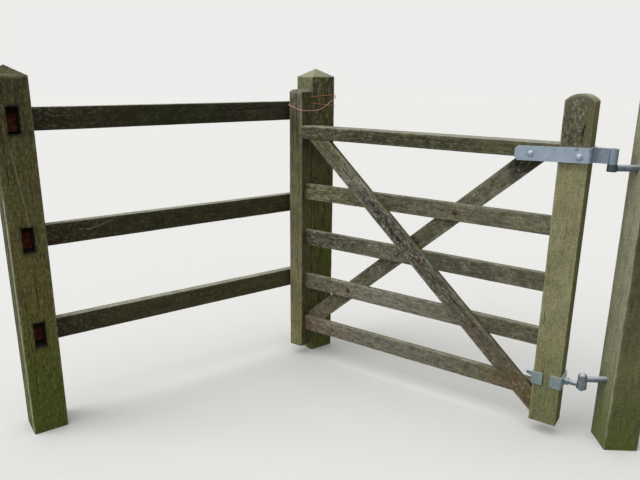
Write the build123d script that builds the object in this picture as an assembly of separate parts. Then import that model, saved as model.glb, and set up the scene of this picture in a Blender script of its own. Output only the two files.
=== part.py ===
from build123d import *
import math
import os

# Wooden kissing gate: one side panel of three rails between a corner post and a
# clapping post, and a five-rail leaf that swings from a hanging post and rests
# against the clapping post. Millimetres, +Z up. The origin is the middle of the
# clapping post's foot, +X runs along the side panel away from the corner post.

# Posts: square sawn softwood with a four-way weathered top.
post_size = 120.0
post_eaves_height = 1278.0
post_top_rise = 34.0
post_arris_radius = 3.0
corner_post_distance = 1242.0

# Side panel rails, mortised into the posts a little behind their centre line.
side_rail_height = 80.0
side_rail_thickness = 36.0
side_rail_undersides_below_eaves = {"top": 183.0, "middle": 591.0, "bottom": 949.0}
side_rail_setback = 64.0
side_tenon_in_corner_post = 90.0
side_tenon_in_clapping_post = 60.0

# Empty mortises in the corner post's near face, for the rails of a panel that is gone.
empty_mortise_width = 38.0
empty_mortise_height = 88.0
empty_mortise_middles_below_eaves = {"top": 142.0, "middle": 544.0, "bottom": 894.0}

# Play around a tenon, and between a rod and its hole.
joint_play = 0.3

# Leaf: overall width, stiles, and the place where it meets the clapping post.
leaf_width = 1220.0
leaf_turn = -70.4
leaf_foot = 50.0
leaf_stop_gap = 7.0
leaf_stop_overlap = 64.0
stile_thickness = 75.0
closing_stile_width = 68.0
closing_stile_height = 1165.0
closing_stile_crown = 12.0
hanging_stile_width = 97.0
hanging_stile_height = 1164.0
hanging_stile_crown = 24.0
timber_arris_radius = 3.0

# Leaf rails.
top_rail_above_foot = 972.0
top_rail_height = 55.0
top_rail_tenon_thickness = 25.0
top_rail_tenon_height = 38.0
bar_height = 70.0
bar_thickness = 22.0
bar_setback = 26.0
bar_pitch = 208.5
bottom_bar_above_foot = 79.0
bar_tenon_length = 40.0

# Braces, one on each side of the bars: the middles of their ends.
brace_width = 70.0
brace_thickness = 22.0
near_brace_top_from_stile = 84.0
near_brace_foot_above_foot = 76.0
far_brace_top_from_stile = 90.0
far_brace_foot_above_foot = 112.0

# Hinge pins: how far the pin stands beyond the leaf, and from the hanging post.
pin_diameter = 16.0
pin_chamfer = 1.5
pin_beyond_leaf = 65.0
hook_reach = 83.0
hook_bar_diameter = 22.0
hook_boss_diameter = 31.0
hook_boss_height = 24.0
hook_tail_length = 30.0
eye_clearance = 0.4
seat_gap = 0.3

# Top hinge: one flat bar folded round the pin, with a leg on each face of the leaf. The
# legs fall a little towards their free ends, and the eye stays level on the pin.
strap_height = 50.0
strap_thickness = 6.0
strap_below_rail = 3.5
strap_leg_length = 240.0
strap_leg_fall = 7.0
strap_bend_radius = 6.0
strap_corner_clip = 10.0
strap_stile_gap = 0.5
strap_bolt_places = (54.0, 211.0)
strap_bolts_above_rail_underside = 14.0
strap_bolt_diameter = 10.0
strap_bolt_head_diameter = 24.0
strap_bolt_head_height = 6.0
strap_nut_across_flats = 17.0
strap_nut_height = 8.0
strap_bolt_tail = 3.0

# Bottom hinge: a band round the hanging stile and an eye bolt through it.
band_height = 46.0
band_thickness = 5.0
band_above_bar = 1.5
band_opening = 27.0
band_bend_radius = 6.0
eye_height = 24.0
eye_wall = 9.0
eye_stud_diameter = 18.0
eye_stud_tail = 11.0
eye_nut_across_flats = 27.0
eye_nut_height = 15.0
eye_pin_overrun = 9.0
top_pin_shortfall = 2.0
hook_dome_height = 12.0

# Square washers and nuts behind the hanging post.
hook_washer_size = 50.0
hook_washer_thickness = 4.0
hook_nut_across_flats = 32.0
hook_nut_height = 18.0

# Twine: two turns round the clapping post, and a slack loop over the closing stile.
twine_diameter = 3.0
twine_gap = 0.3

post_half = post_size / 2
stile_half = stile_thickness / 2
side_rail_undersides = {
    name: post_eaves_height - below for name, below in side_rail_undersides_below_eaves.items()
}

# Places within the leaf.
hanging_stile_start = leaf_width - hanging_stile_width
top_rail_underside = leaf_foot + top_rail_above_foot
bottom_bar_underside = leaf_foot + bottom_bar_above_foot
bar_undersides = [bottom_bar_underside + bar_pitch * index for index in range(4)]
near_brace_top_middle = closing_stile_width + near_brace_top_from_stile
near_brace_foot_middle = leaf_foot + near_brace_foot_above_foot
far_brace_top_middle = hanging_stile_start - far_brace_top_from_stile
far_brace_foot_middle = leaf_foot + far_brace_foot_above_foot
strap_underside = top_rail_underside - strap_below_rail
strap_leg_end = leaf_width - strap_bend_radius

# The leaf's own axes: X from the closing edge to the hinge, Y from the near face to
# the far face. It is placed so that its far face stops short of the post's arris.
turn = math.radians(leaf_turn)
leaf_along = Vector(math.cos(turn), math.sin(turn), 0)
leaf_inward = Vector(-math.sin(turn), math.cos(turn), 0)
stop_arris = Vector(-post_half, -post_half, 0)
leaf_corner = stop_arris - leaf_along * leaf_stop_overlap - leaf_inward * (stile_thickness + leaf_stop_gap)
leaf_place = Location((leaf_corner.X, leaf_corner.Y, 0), (0, 0, leaf_turn))

# The hinge pins, and the hanging post turned to face the corner post.
pin_along = leaf_width + pin_beyond_leaf
pin_point = leaf_corner + leaf_along * pin_along + leaf_inward * stile_half
corner_post_point = Vector(-corner_post_distance, 0, 0)
hook_direction = (corner_post_point - pin_point).normalized()
hanging_post_point = pin_point - hook_direction * (hook_reach + post_half)
hook_turn = math.degrees(math.atan2(hook_direction.Y, hook_direction.X))
hook_place = Location((pin_point.X, pin_point.Y, 0), (0, 0, hook_turn))


def box(low, high):
    """A box between two opposite corners."""
    size = [high[axis] - low[axis] for axis in range(3)]
    return Pos(*low) * Box(*size, align=(Align.MIN, Align.MIN, Align.MIN))


def grown(low, high, play):
    """The same box with play added on every side."""
    return box([value - play for value in low], [value + play for value in high])


def rod(start, direction, length, diameter):
    """A round rod from a start point along a direction."""
    plane = Plane(origin=start, z_dir=direction)
    return extrude(plane * Circle(diameter / 2), length)


def post(place):
    """A square post with rounded arrises and a pyramid top."""
    apex = post_eaves_height + post_top_rise
    shaft = extrude(RectangleRounded(post_size, post_size, post_arris_radius), apex)
    reach = apex * post_half / post_top_rise
    base = Rectangle(2 * reach, 2 * reach)
    roof = loft([base.face(), Vertex(0, 0, apex)])
    return place * (shaft & roof)


def side_rail_box(underside, left, right):
    """Low and high corners of a side rail between two X places."""
    near = -post_half + side_rail_setback
    low = (left, near, underside)
    high = (right, near + side_rail_thickness, underside + side_rail_height)
    return low, high


side_rail_left = -corner_post_distance + post_half - side_tenon_in_corner_post
side_rail_right = -post_half + side_tenon_in_clapping_post


def corner_post():
    """The corner post, with the side rails' mortises and three empty ones that meet them."""
    solid = post(Location((-corner_post_distance, 0, 0)))
    for name, underside in side_rail_undersides.items():
        low, high = side_rail_box(underside, side_rail_left, side_rail_right)
        solid -= grown(low, high, joint_play)
        middle = post_eaves_height - empty_mortise_middles_below_eaves[name]
        depth = high[1] + joint_play + post_half
        mouth = Box(empty_mortise_width, 2 * depth, empty_mortise_height)
        solid -= Pos(-corner_post_distance, -post_half, middle) * mouth
    return solid


def clapping_post():
    """The clapping post, mortised for the side rails."""
    solid = post(Location((0, 0, 0)))
    for underside in side_rail_undersides.values():
        low, high = side_rail_box(underside, side_rail_left, side_rail_right)
        solid -= grown(low, high, joint_play)
    return solid


# Heights of the bottom band and of the two hook bars.
band_underside = bottom_bar_underside + bar_height + band_above_bar
band_middle = band_underside + band_height / 2
top_hook_level = strap_underside - seat_gap - hook_boss_height / 2
bottom_hook_level = band_middle + eye_height / 2 + seat_gap + hook_boss_height / 2


def hanging_post():
    """The hanging post, drilled for the two hook bars."""
    solid = post(Location((hanging_post_point.X, hanging_post_point.Y, 0), (0, 0, hook_turn)))
    for level in (top_hook_level, bottom_hook_level):
        start = hanging_post_point - hook_direction * post_size + Vector(0, 0, level)
        solid -= rod(start, hook_direction, 2 * post_size, hook_bar_diameter + 2 * joint_play)
    return solid


def hook_bar(level):
    """A hook's bar from the pin's axis through the hanging post, with its boss."""
    length = hook_reach + post_size + hook_washer_thickness + hook_nut_height + hook_tail_length
    bar = Pos(0, 0, level) * Rot(0, -90, 0) * Cylinder(
        hook_bar_diameter / 2, length, align=(Align.CENTER, Align.CENTER, Align.MIN)
    )
    boss = Pos(0, 0, level) * Cylinder(hook_boss_diameter / 2, hook_boss_height)
    return bar + boss


def top_hook():
    """The top hook: its pin stands up through the strap's eye."""
    base = top_hook_level + hook_boss_height / 2
    tip = strap_underside + strap_height - top_pin_shortfall
    pin = Pos(0, 0, (base + tip) / 2) * Cylinder(pin_diameter / 2, tip - base)
    pin = chamfer(pin.edges().sort_by(Axis.Z)[-1], pin_chamfer)
    return hook_place * (hook_bar(top_hook_level) + pin)


def bottom_hook():
    """The bottom hook, turned over so that the leaf can't be lifted off."""
    base = bottom_hook_level - hook_boss_height / 2
    tip = band_middle - eye_height / 2 - eye_pin_overrun
    pin = Pos(0, 0, (base + tip) / 2) * Cylinder(pin_diameter / 2, base - tip)
    pin = chamfer(pin.edges().sort_by(Axis.Z)[0], pin_chamfer)
    dome = Pos(0, 0, bottom_hook_level + hook_boss_height / 2) * domed_head(
        hook_boss_diameter, hook_dome_height
    )
    return hook_place * (hook_bar(bottom_hook_level) + pin + dome)


def hook_washers():
    """A square washer behind the post on each hook bar."""
    start = -(hook_reach + post_size)
    washers = []
    for level in (top_hook_level, bottom_hook_level):
        plate = Pos(start - hook_washer_thickness / 2, 0, level) * Box(
            hook_washer_thickness, hook_washer_size, hook_washer_size
        )
        hole = Pos(start, 0, level) * Rot(0, 90, 0) * Cylinder(
            hook_bar_diameter / 2 + joint_play, 4 * hook_washer_thickness
        )
        washers.append(hook_place * (plate - hole))
    return Compound(children=washers)


def hex_nut(across_flats, height, bore):
    """A plain hexagon nut standing on its seat, with its bore along Z."""
    outline = RegularPolygon(across_flats / 2, 6, major_radius=False)
    body = extrude(outline, height)
    return body - Cylinder(bore / 2, 3 * height)


def hook_nuts():
    """A nut behind each square washer."""
    start = -(hook_reach + post_size + hook_washer_thickness)
    nuts = []
    for level in (top_hook_level, bottom_hook_level):
        nut = hex_nut(hook_nut_across_flats, hook_nut_height, hook_bar_diameter + 2 * joint_play)
        nuts.append(hook_place * Pos(start, 0, level) * Rot(0, -90, 0) * nut)
    return Compound(children=nuts)


def stile(start, width, height, crown):
    """A stile with a segmental top and rounded long arrises, in the leaf's axes."""
    spring = leaf_foot + height
    outline = Polyline(
        (start, spring), (start, leaf_foot), (start + width, leaf_foot), (start + width, spring)
    )
    top = ThreePointArc((start + width, spring), (start + width / 2, spring + crown), (start, spring))
    face = make_face(Plane.XZ * (outline + top))
    solid = extrude(face, stile_thickness, dir=(0, 1, 0))
    arrises = solid.edges().filter_by(Axis.Z)
    return fillet(arrises, timber_arris_radius)


def bar_box(underside):
    """Low and high corners of one thin bar, tenons included."""
    low = (closing_stile_width - bar_tenon_length, bar_setback, underside)
    high = (hanging_stile_start + bar_tenon_length, bar_setback + bar_thickness, underside + bar_height)
    return low, high


def top_tenon_box():
    """Low and high corners of the top rail's two tenons taken as one bar."""
    near = (stile_thickness - top_rail_tenon_thickness) / 2
    foot = top_rail_underside + (top_rail_height - top_rail_tenon_height) / 2
    low = (closing_stile_width - bar_tenon_length, near, foot)
    high = (
        hanging_stile_start + bar_tenon_length,
        near + top_rail_tenon_thickness,
        foot + top_rail_tenon_height,
    )
    return low, high


def strap_bolt_points():
    """Places of the strap's bolts along the leaf, and their height."""
    level = top_rail_underside + strap_bolts_above_rail_underside
    start = leaf_width - strap_leg_length
    return [(start + place, level) for place in strap_bolt_places]


def bolt_hole(point, diameter):
    """A hole along the leaf's thickness at a place and height."""
    return Pos(point[0], stile_half, point[1]) * Rot(90, 0, 0) * Cylinder(diameter / 2, 4 * stile_thickness)


def mortised(solid):
    """Cut the mortises of the top rail and the four bars out of a stile."""
    low, high = top_tenon_box()
    solid -= grown(low, high, joint_play)
    for underside in bar_undersides:
        low, high = bar_box(underside)
        solid -= grown(low, high, joint_play)
    return solid


def closing_stile():
    """The stile that rests against the clapping post."""
    solid = stile(0, closing_stile_width, closing_stile_height, closing_stile_crown)
    return leaf_place * mortised(solid)


def hanging_stile():
    """The heavier stile on the hinge side, drilled for the strap and the eye bolt."""
    solid = stile(hanging_stile_start, hanging_stile_width, hanging_stile_height, hanging_stile_crown)
    solid = mortised(solid)
    for point in strap_bolt_points():
        solid -= bolt_hole(point, strap_bolt_diameter + 2 * joint_play)
    bore = Pos(leaf_width, stile_half, band_middle) * Rot(0, 90, 0) * Cylinder(
        eye_stud_diameter / 2 + joint_play, 3 * hanging_stile_width
    )
    return leaf_place * (solid - bore)


def gate_top_rail():
    """The thick top rail with its tenons, drilled for the strap's bolts."""
    low = (closing_stile_width, 0, top_rail_underside)
    high = (hanging_stile_start, stile_thickness, top_rail_underside + top_rail_height)
    solid = box(low, high)
    solid = fillet(solid.edges().filter_by(Axis.X), timber_arris_radius)
    solid += box(*top_tenon_box())
    for point in strap_bolt_points():
        solid -= bolt_hole(point, strap_bolt_diameter + 2 * joint_play)
    return leaf_place * solid


def gate_bar(underside):
    """One thin bar with full-size tenons."""
    solid = box(*bar_box(underside))
    solid = fillet(solid.edges().filter_by(Axis.X), timber_arris_radius / 2)
    return leaf_place * solid


def brace(corners, near):
    """A brace from its four corners in the leaf's plane, and the depth of its near face."""
    outline = Polyline(*corners, close=True)
    face = make_face(Plane.XZ * outline)
    return leaf_place * Pos(0, near, 0) * extrude(face, brace_thickness, dir=(0, 1, 0))


def near_brace():
    """The brace on the near side, from under the top rail down to the hanging stile."""
    run = hanging_stile_start - near_brace_top_middle
    drop = top_rail_underside - near_brace_foot_middle
    length = math.hypot(run, drop)
    half_level = brace_width / 2 * length / drop
    half_upright = brace_width / 2 * length / run
    corners = [
        (near_brace_top_middle - half_level, top_rail_underside),
        (near_brace_top_middle + half_level, top_rail_underside),
        (hanging_stile_start, near_brace_foot_middle + half_upright),
        (hanging_stile_start, near_brace_foot_middle - half_upright),
    ]
    return brace(corners, bar_setback - brace_thickness)


def far_brace():
    """The brace on the far side, from the closing stile up to the top rail."""
    run = far_brace_top_middle - closing_stile_width
    drop = top_rail_underside - far_brace_foot_middle
    length = math.hypot(run, drop)
    half_level = brace_width / 2 * length / drop
    half_upright = brace_width / 2 * length / run
    corners = [
        (closing_stile_width, far_brace_foot_middle - half_upright),
        (far_brace_top_middle + half_level, top_rail_underside),
        (far_brace_top_middle - half_level, top_rail_underside),
        (closing_stile_width, far_brace_foot_middle + half_upright),
    ]
    return brace(corners, bar_setback + bar_thickness)


def strap_leg(near):
    """One leg of the strap with a clipped end, from the depth of its near face."""
    start = leaf_width - strap_leg_length
    clip = strap_corner_clip
    outline = [
        (strap_leg_end, 0),
        (start + clip, 0),
        (start, clip),
        (start, strap_height - clip),
        (start + clip, strap_height),
        (strap_leg_end, strap_height),
    ]
    fall = strap_leg_fall / (strap_leg_end - start)
    corners = [
        (along, strap_underside + level - fall * (strap_leg_end - along)) for along, level in outline
    ]
    face = make_face(Plane.XZ * Polyline(*corners, close=True))
    return Pos(0, near, 0) * extrude(face, strap_thickness, dir=(0, 1, 0))


def top_strap_hinge():
    """The folded strap: two legs, two cranks round the stile and an eye on the pin."""
    half = strap_thickness / 2
    crank = leaf_width + strap_stile_gap + half
    eye_radius = pin_diameter / 2 + eye_clearance + strap_thickness
    cheek = stile_half - half - eye_clearance / 2
    path = FilletPolyline(
        (strap_leg_end - strap_thickness, -half),
        (crank, -half),
        (crank, cheek),
        (pin_along, cheek),
        radius=strap_bend_radius,
    )
    near_crank = trace(path, strap_thickness)
    square_end = Rectangle(2 * strap_thickness, 2 * strap_thickness)
    near_crank -= Pos(strap_leg_end - strap_thickness, -half) * square_end
    far_crank = Pos(0, stile_thickness) * mirror(near_crank, Plane.XZ)
    eye = Pos(pin_along, stile_half) * Circle(eye_radius)
    hole = Pos(pin_along, stile_half) * Circle(pin_diameter / 2 + eye_clearance)
    slit = Pos((crank + pin_along) / 2, stile_half) * Rectangle(pin_along - crank, eye_clearance)
    section = near_crank + far_crank + eye - hole - slit
    solid = Pos(0, 0, strap_underside) * extrude(section, strap_height, dir=(0, 0, 1))
    solid += strap_leg(-strap_thickness)
    solid += strap_leg(stile_thickness)
    for point in strap_bolt_points():
        solid -= bolt_hole(point, strap_bolt_diameter + 2 * joint_play)
    return leaf_place * solid


def strap_bolts():
    """Two domed bolts through both legs of the strap."""
    length = stile_thickness + 2 * strap_thickness + strap_nut_height + strap_bolt_tail
    bolts = []
    for place, level in strap_bolt_points():
        shank = rod((place, -strap_thickness, level), (0, 1, 0), length, strap_bolt_diameter)
        head = Pos(place, -strap_thickness, level) * Rot(90, 0, 0) * domed_head(
            strap_bolt_head_diameter, strap_bolt_head_height
        )
        bolts.append(leaf_place * (shank + head))
    return Compound(children=bolts)


def domed_head(diameter, height):
    """A cap of a sphere standing on the XY plane."""
    radius = diameter / 2
    sphere_radius = (radius ** 2 + height ** 2) / (2 * height)
    ball = Pos(0, 0, height - sphere_radius) * Sphere(sphere_radius)
    return ball & Pos(0, 0, height) * Box(2 * diameter, 2 * diameter, 2 * height)


def strap_nuts():
    """The bolts' nuts on the far leg."""
    nuts = []
    for place, level in strap_bolt_points():
        nut = hex_nut(strap_nut_across_flats, strap_nut_height, strap_bolt_diameter + 2 * joint_play)
        nuts.append(leaf_place * Pos(place, stile_thickness + strap_thickness, level) * Rot(-90, 0, 0) * nut)
    return Compound(children=nuts)


def bottom_band():
    """A band bent round the hanging stile, open in the middle of the near face."""
    gap = strap_stile_gap
    outer = band_thickness + gap
    left = hanging_stile_start - outer
    right = leaf_width + outer
    size_along = right - left
    size_across = stile_thickness + 2 * outer
    middle = Pos((left + right) / 2, stile_half)
    outline = middle * RectangleRounded(size_along, size_across, band_bend_radius)
    inside = middle * RectangleRounded(
        size_along - 2 * band_thickness, size_across - 2 * band_thickness, band_bend_radius - band_thickness
    )
    opening = Pos((left + right) / 2, -outer) * Rectangle(band_opening, 4 * outer)
    solid = Pos(0, 0, band_underside) * extrude(outline - inside - opening, band_height)
    bore = Pos(leaf_width, stile_half, band_middle) * Rot(0, 90, 0) * Cylinder(
        eye_stud_diameter / 2 + joint_play, 3 * hanging_stile_width
    )
    return leaf_place * (solid - bore)


def bottom_eye_bolt():
    """The eye bolt through the hanging stile, with its eye on the bottom pin."""
    tail = hanging_stile_start - band_thickness - eye_nut_height - eye_stud_tail
    eye_radius = pin_diameter / 2 + eye_clearance + eye_wall
    stud = rod((tail, stile_half, band_middle), (1, 0, 0), pin_along - tail, eye_stud_diameter)
    eye = Pos(pin_along, stile_half, band_middle) * Cylinder(eye_radius, eye_height)
    hole = Pos(pin_along, stile_half, band_middle) * Cylinder(
        pin_diameter / 2 + eye_clearance, 3 * eye_height
    )
    return leaf_place * (stud + eye - hole)


def bottom_eye_nuts():
    """A nut on each side of the hanging stile, against the band."""
    outer = band_thickness + strap_stile_gap
    nuts = []
    for place, direction in ((hanging_stile_start - outer, -90), (leaf_width + outer, 90)):
        nut = hex_nut(eye_nut_across_flats, eye_nut_height, eye_stud_diameter + 2 * joint_play)
        nuts.append(leaf_place * Pos(place, stile_half, band_middle) * Rot(0, direction, 0) * nut)
    return Compound(children=nuts)


def twine_tube(points, radii):
    """A six-sided tube of twine along straight runs joined by tangent arcs."""
    path = FilletPolyline(*points, radius=radii)
    start = Plane(origin=path @ 0, z_dir=path % 0)
    tube = sweep(start * RegularPolygon(twine_diameter / 2, 6), path=path)
    print("twine", round(path.length, 1), "mm, arcs", [round(value, 1) for value in radii])
    return tube


twine_reach = post_half + twine_diameter / 2 + twine_gap
twine_corner = post_arris_radius + twine_diameter / 2 + twine_gap
twine_layer = twine_diameter + twine_gap


def twine_turns():
    """Two turns pulled tight round the clapping post, ending behind it."""
    reach = twine_reach
    points = [
        (6, reach, 1206),
        (-reach, reach, 1201),
        (-reach, -reach, 1195),
        (reach, -reach, 1203),
        (reach, reach, 1200),
        (-reach, reach, 1191),
        (-reach, -reach, 1167),
        (reach, -reach, 1154),
        (reach, reach, 1158),
        (8, reach, 1166),
    ]
    return twine_tube(points, [twine_corner] * (len(points) - 2))


def leaf_point(along, inward, level):
    """A point given in the leaf's own axes."""
    point = leaf_corner + leaf_along * along + leaf_inward * inward
    return (point.X, point.Y, level)


def twine_loop():
    """The slack loop over the closing stile and round the back of the clapping post."""
    clear = twine_diameter / 2 + twine_gap
    reach = twine_reach + twine_layer
    corner = twine_corner + twine_layer
    points = [
        (-reach, 22, 1200),
        leaf_point(-clear, stile_thickness + clear, 1190),
        leaf_point(-clear, -clear, 1161),
        leaf_point(closing_stile_width + clear, -clear, 1139),
        (-30, -reach - 3, 1137),
        (10, -reach, 1156),
        (reach, -reach, 1194),
        (reach, reach, 1213),
        (-reach, reach, 1210),
        (-reach, 34, 1206),
    ]
    radii = [twine_corner, twine_corner, twine_corner, 20, 20, corner, corner, corner]
    return twine_tube(points, radii)


def side_rail(underside):
    """A side rail with its full-size tenons."""
    low, high = side_rail_box(underside, side_rail_left, side_rail_right)
    solid = box(low, high)
    return fillet(solid.edges().filter_by(Axis.X), timber_arris_radius / 2)


pieces = {
    "corner_post": corner_post(),
    "clapping_post": clapping_post(),
    "hanging_post": hanging_post(),
    "top_hook": top_hook(),
    "bottom_hook": bottom_hook(),
    "hook_washers": hook_washers(),
    "hook_nuts": hook_nuts(),
    "twine_turns": twine_turns(),
    "twine_loop": twine_loop(),
    "closing_stile": closing_stile(),
    "hanging_stile": hanging_stile(),
    "gate_top_rail": gate_top_rail(),
    "near_brace": near_brace(),
    "far_brace": far_brace(),
    "top_strap_hinge": top_strap_hinge(),
    "strap_bolts": strap_bolts(),
    "strap_nuts": strap_nuts(),
    "bottom_band": bottom_band(),
    "bottom_eye_bolt": bottom_eye_bolt(),
    "bottom_eye_nuts": bottom_eye_nuts(),
}
for name, underside in side_rail_undersides.items():
    pieces[f"side_rail_{name}"] = side_rail(underside)
for name, underside in zip(("bottom", "lower", "middle", "upper"), bar_undersides):
    pieces[f"gate_bar_{name}"] = gate_bar(underside)

os.makedirs("parts", exist_ok=True)
for name, piece in pieces.items():
    export_step(piece, f"parts/{name}.step")
print("pin axis", round(pin_point.X, 2), round(pin_point.Y, 2))
print("hanging post", round(hanging_post_point.X, 2), round(hanging_post_point.Y, 2), round(hook_turn, 2))
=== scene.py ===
import math

import bpy
import numpy as np
from mathutils import Matrix, Vector


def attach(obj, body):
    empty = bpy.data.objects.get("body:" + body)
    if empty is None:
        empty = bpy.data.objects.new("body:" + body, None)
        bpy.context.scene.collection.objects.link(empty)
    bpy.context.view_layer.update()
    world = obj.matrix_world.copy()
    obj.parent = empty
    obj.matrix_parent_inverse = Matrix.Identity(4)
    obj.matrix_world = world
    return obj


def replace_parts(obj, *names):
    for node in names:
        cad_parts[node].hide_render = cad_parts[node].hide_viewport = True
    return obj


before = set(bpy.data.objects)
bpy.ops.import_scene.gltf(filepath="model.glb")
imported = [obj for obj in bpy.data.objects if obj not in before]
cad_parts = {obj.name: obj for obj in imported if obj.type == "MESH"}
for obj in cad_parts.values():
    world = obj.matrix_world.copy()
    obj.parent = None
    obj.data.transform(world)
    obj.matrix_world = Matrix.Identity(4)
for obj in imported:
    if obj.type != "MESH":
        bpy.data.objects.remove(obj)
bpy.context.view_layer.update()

# Corner post: a 120 mm sawn softwood post, pressure treated and green with algae, with a
# four-way weathered top. Three rails of the side panel are mortised into its right face,
# and three empty mortises in its near face show where another panel once joined it.
MM = 0.001
POSTS = "posts_and_side_panel"
POST_SIZE = 120.0
POST_EAVES = 1278.0
POST_RISE = 34.0
CORNER_POST_X = -1242.0
MORTISE_WIDTH = 38.0
MORTISE_HEIGHT = 88.0
MORTISE_DEPTH = 98.0
MORTISE_MIDDLES = (384.0, 734.0, 1136.0)
UPRIGHT = np.eye(3)


def linear(hexes):
    """An sRGB hex colour as linear RGBA: each channel over 12.92 when it is dark, and
    otherwise its value plus 0.055, over 1.055, to the power of 2.4."""
    values = [int(hexes[place:place + 2], 16) / 255 for place in (1, 3, 5)]
    return [v / 12.92 if v <= 0.04045 else ((v + 0.055) / 1.055) ** 2.4 for v in values] + [1.0]


def node(tree, kind, inputs=None, **settings):
    """Adds one shader node with its settings, and fills or links its inputs. A node as an
    input gives its first output that is in use."""
    made = tree.nodes.new(f"ShaderNode{kind}")
    for key, value in settings.items():
        setattr(made, key, value)
    for socket, value in (inputs or {}).items():
        if isinstance(value, bpy.types.Node):
            value = next(output for output in value.outputs if output.enabled)
        if isinstance(value, bpy.types.NodeSocket):
            tree.links.new(value, made.inputs[socket])
        else:
            made.inputs[socket].default_value = value
    return made


def new_material(name):
    """A material without nodes, and its node tree."""
    material = bpy.data.materials.new(name)
    material.use_nodes = True
    material.node_tree.nodes.clear()
    return material, material.node_tree


def surface(tree, inputs):
    """Ends a material: the surface shader with these inputs, joined to the output."""
    node(tree, "OutputMaterial", {"Surface": node(tree, "BsdfPrincipled", inputs)})


def weathered_softwood(name, moss, lichen, raw, fibre_share=0.32, saw=(3.6, 0.13), blotch_length=22.0):
    """Outdoor softwood that has gone grey. The eye gets a colour that changes from face to
    face and along the member, fibres, saw marks across them, blotches of damp and
    bleaching, and flecks of lichen. The colours and shares come from the piece's own
    attributes, and the patterns from its own place, which runs with the grain. Saw is the
    spacing of the saw marks in millimetres and their share of the grey."""
    material, tree = new_material(name)
    place = node(tree, "Attribute", attribute_name="timber_place").outputs["Vector"]

    # Noise by its cells in millimetres, across, deep and along the grain. Real fibres,
    # grit and spots of lichen are under a millimetre, too fine to show in the render, so
    # they are drawn 3 to 6 mm wide.
    noise = {}
    for field, spacing, detail, roughness in (
        ("fibre", (2.8, 2.8, 46.0), 4.0, 0.65),
        ("streak", (9.0, 9.0, 210.0), 3.0, 0.55),
        ("sawn", (30.0, 30.0, saw[0]), 2.0, 0.5),
        ("grit", (4.6, 4.6, 8.0), 3.0, 0.7),
        ("blotch", (8.5, 8.5, blotch_length), 5.0, 0.7),
        ("patch", (34.0, 34.0, 60.0), 4.0, 0.65),
        ("dots", (5.5, 5.5, 8.0), 3.0, 0.55),
        ("runs", (5.0, 5.0, 22.0), 3.0, 0.6),
    ):
        scale = [1 / (MM * size) for size in spacing]
        cells = node(tree, "VectorMath", {0: place, 1: scale}, operation="MULTIPLY")
        noise[field] = node(
            tree, "TexNoise", {"Vector": cells, "Scale": 1.0, "Detail": detail, "Roughness": roughness}
        )

    # How light the grain is: between two levels of a field, the tone is multiplied by what
    # goes from the bottom share to the top one.
    grey = 1.0
    for field, low, high, bottom, top in (
        ("fibre", 0.28, 0.72, 1 - fibre_share, 1 + fibre_share),
        ("streak", 0.54, 0.66, 1.03, 0.78),
        ("sawn", 0.3, 0.7, 1 - saw[1], 1 + saw[1]),
        ("grit", 0.28, 0.72, 0.58, 1.44),
        ("patch", 0.3, 0.7, 0.74, 1.26),
    ):
        part = node(tree, "MapRange", {0: noise[field], 1: low, 2: high, 3: bottom, 4: top})
        grey = node(tree, "Math", {0: grey, 1: part}, operation="MULTIPLY")
    tone = node(tree, "Attribute", attribute_name="tone").outputs["Vector"]
    colour = node(tree, "VectorMath", {0: tone, "Scale": grey}, operation="SCALE")

    # What lies on the grain, layer on layer: green, new wood, damp, dry lichen, dirt and
    # painted shade, bleaching, flecks, runs below the eaves, and painted shade inside splits.
    # Each covers as much as its attribute says, times its fields.
    for share, blend, tint, fields in (
        ("moss", "MIX", moss, (("patch", 0.42, 0.56, 0.2, 1.6), ("blotch", 0.38, 0.56, 0.4, 1.2))),
        ("raw", "MIX", raw, (("blotch", 0.4, 0.56, 0.55, 1.3),)),
        ("mottle", "MULTIPLY", "#ada8a0", (("blotch", 0.49, 0.38, 0.0, 1.1),)),
        ("mottle", "MIX", lichen, (("blotch", 0.54, 0.66, 0.0, 0.55), ("fibre", 0.4, 0.6, 0.7, 1.2))),
        # Dark is dirt, stains and knot rings, and also painted shade in mortises and under edges.
        ("dark", "MIX", "#1d1a12", (("blotch", 0.36, 0.6, 1.25, 0.75),)),
        ("pale", "MIX", lichen, (("blotch", 0.38, 0.6, 0.55, 1.35),)),
        ("flecks", "MIX", "#c3c4b2", (("dots", 0.6, 0.66, 0.0, 1.0), ("patch", 0.45, 0.58, 0.1, 1.0))),
        ("drips", "MIX", lichen, (("runs", 0.54, 0.62, 0.0, 1.0), ("patch", 0.42, 0.58, 0.35, 1.0))),
        # Split is painted shade inside the splits.
        ("split", "MIX", "#15140d", ()),
    ):
        cover = node(tree, "Attribute", attribute_name=share).outputs["Fac"]
        for field, low, high, bottom, top in fields:
            part = node(tree, "MapRange", {0: noise[field], 1: low, 2: high, 3: bottom, 4: top})
            cover = node(tree, "Math", {0: cover, 1: part}, operation="MULTIPLY", use_clamp=True)
        colour = node(
            tree, "Mix", {0: cover, 6: colour, 7: linear(tint)}, data_type="RGBA", blend_type=blend
        )

    relief = node(tree, "Math", {0: noise["fibre"], 1: noise["blotch"]}, operation="ADD")
    surface(tree, {
        "Base Color": colour, "Specular IOR Level": 0.25,
        "Roughness": node(tree, "MapRange", {0: noise["blotch"], 1: 0.3, 2: 0.7, 3: 0.82, 4: 0.97}),
        "Normal": node(tree, "Bump", {"Height": relief, "Strength": 0.45, "Distance": 0.8 * MM}),
    })
    return material


def ramp(value, low, high):
    """0 up to low, 1 from high on, and straight between them."""
    return np.clip((value - low) / (high - low), 0, 1)


def hump(value, middle, reach):
    """A bell: e to the power of minus the square of the distance from the middle over the
    reach."""
    return np.exp(-((value - middle) / reach) ** 2)


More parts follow.
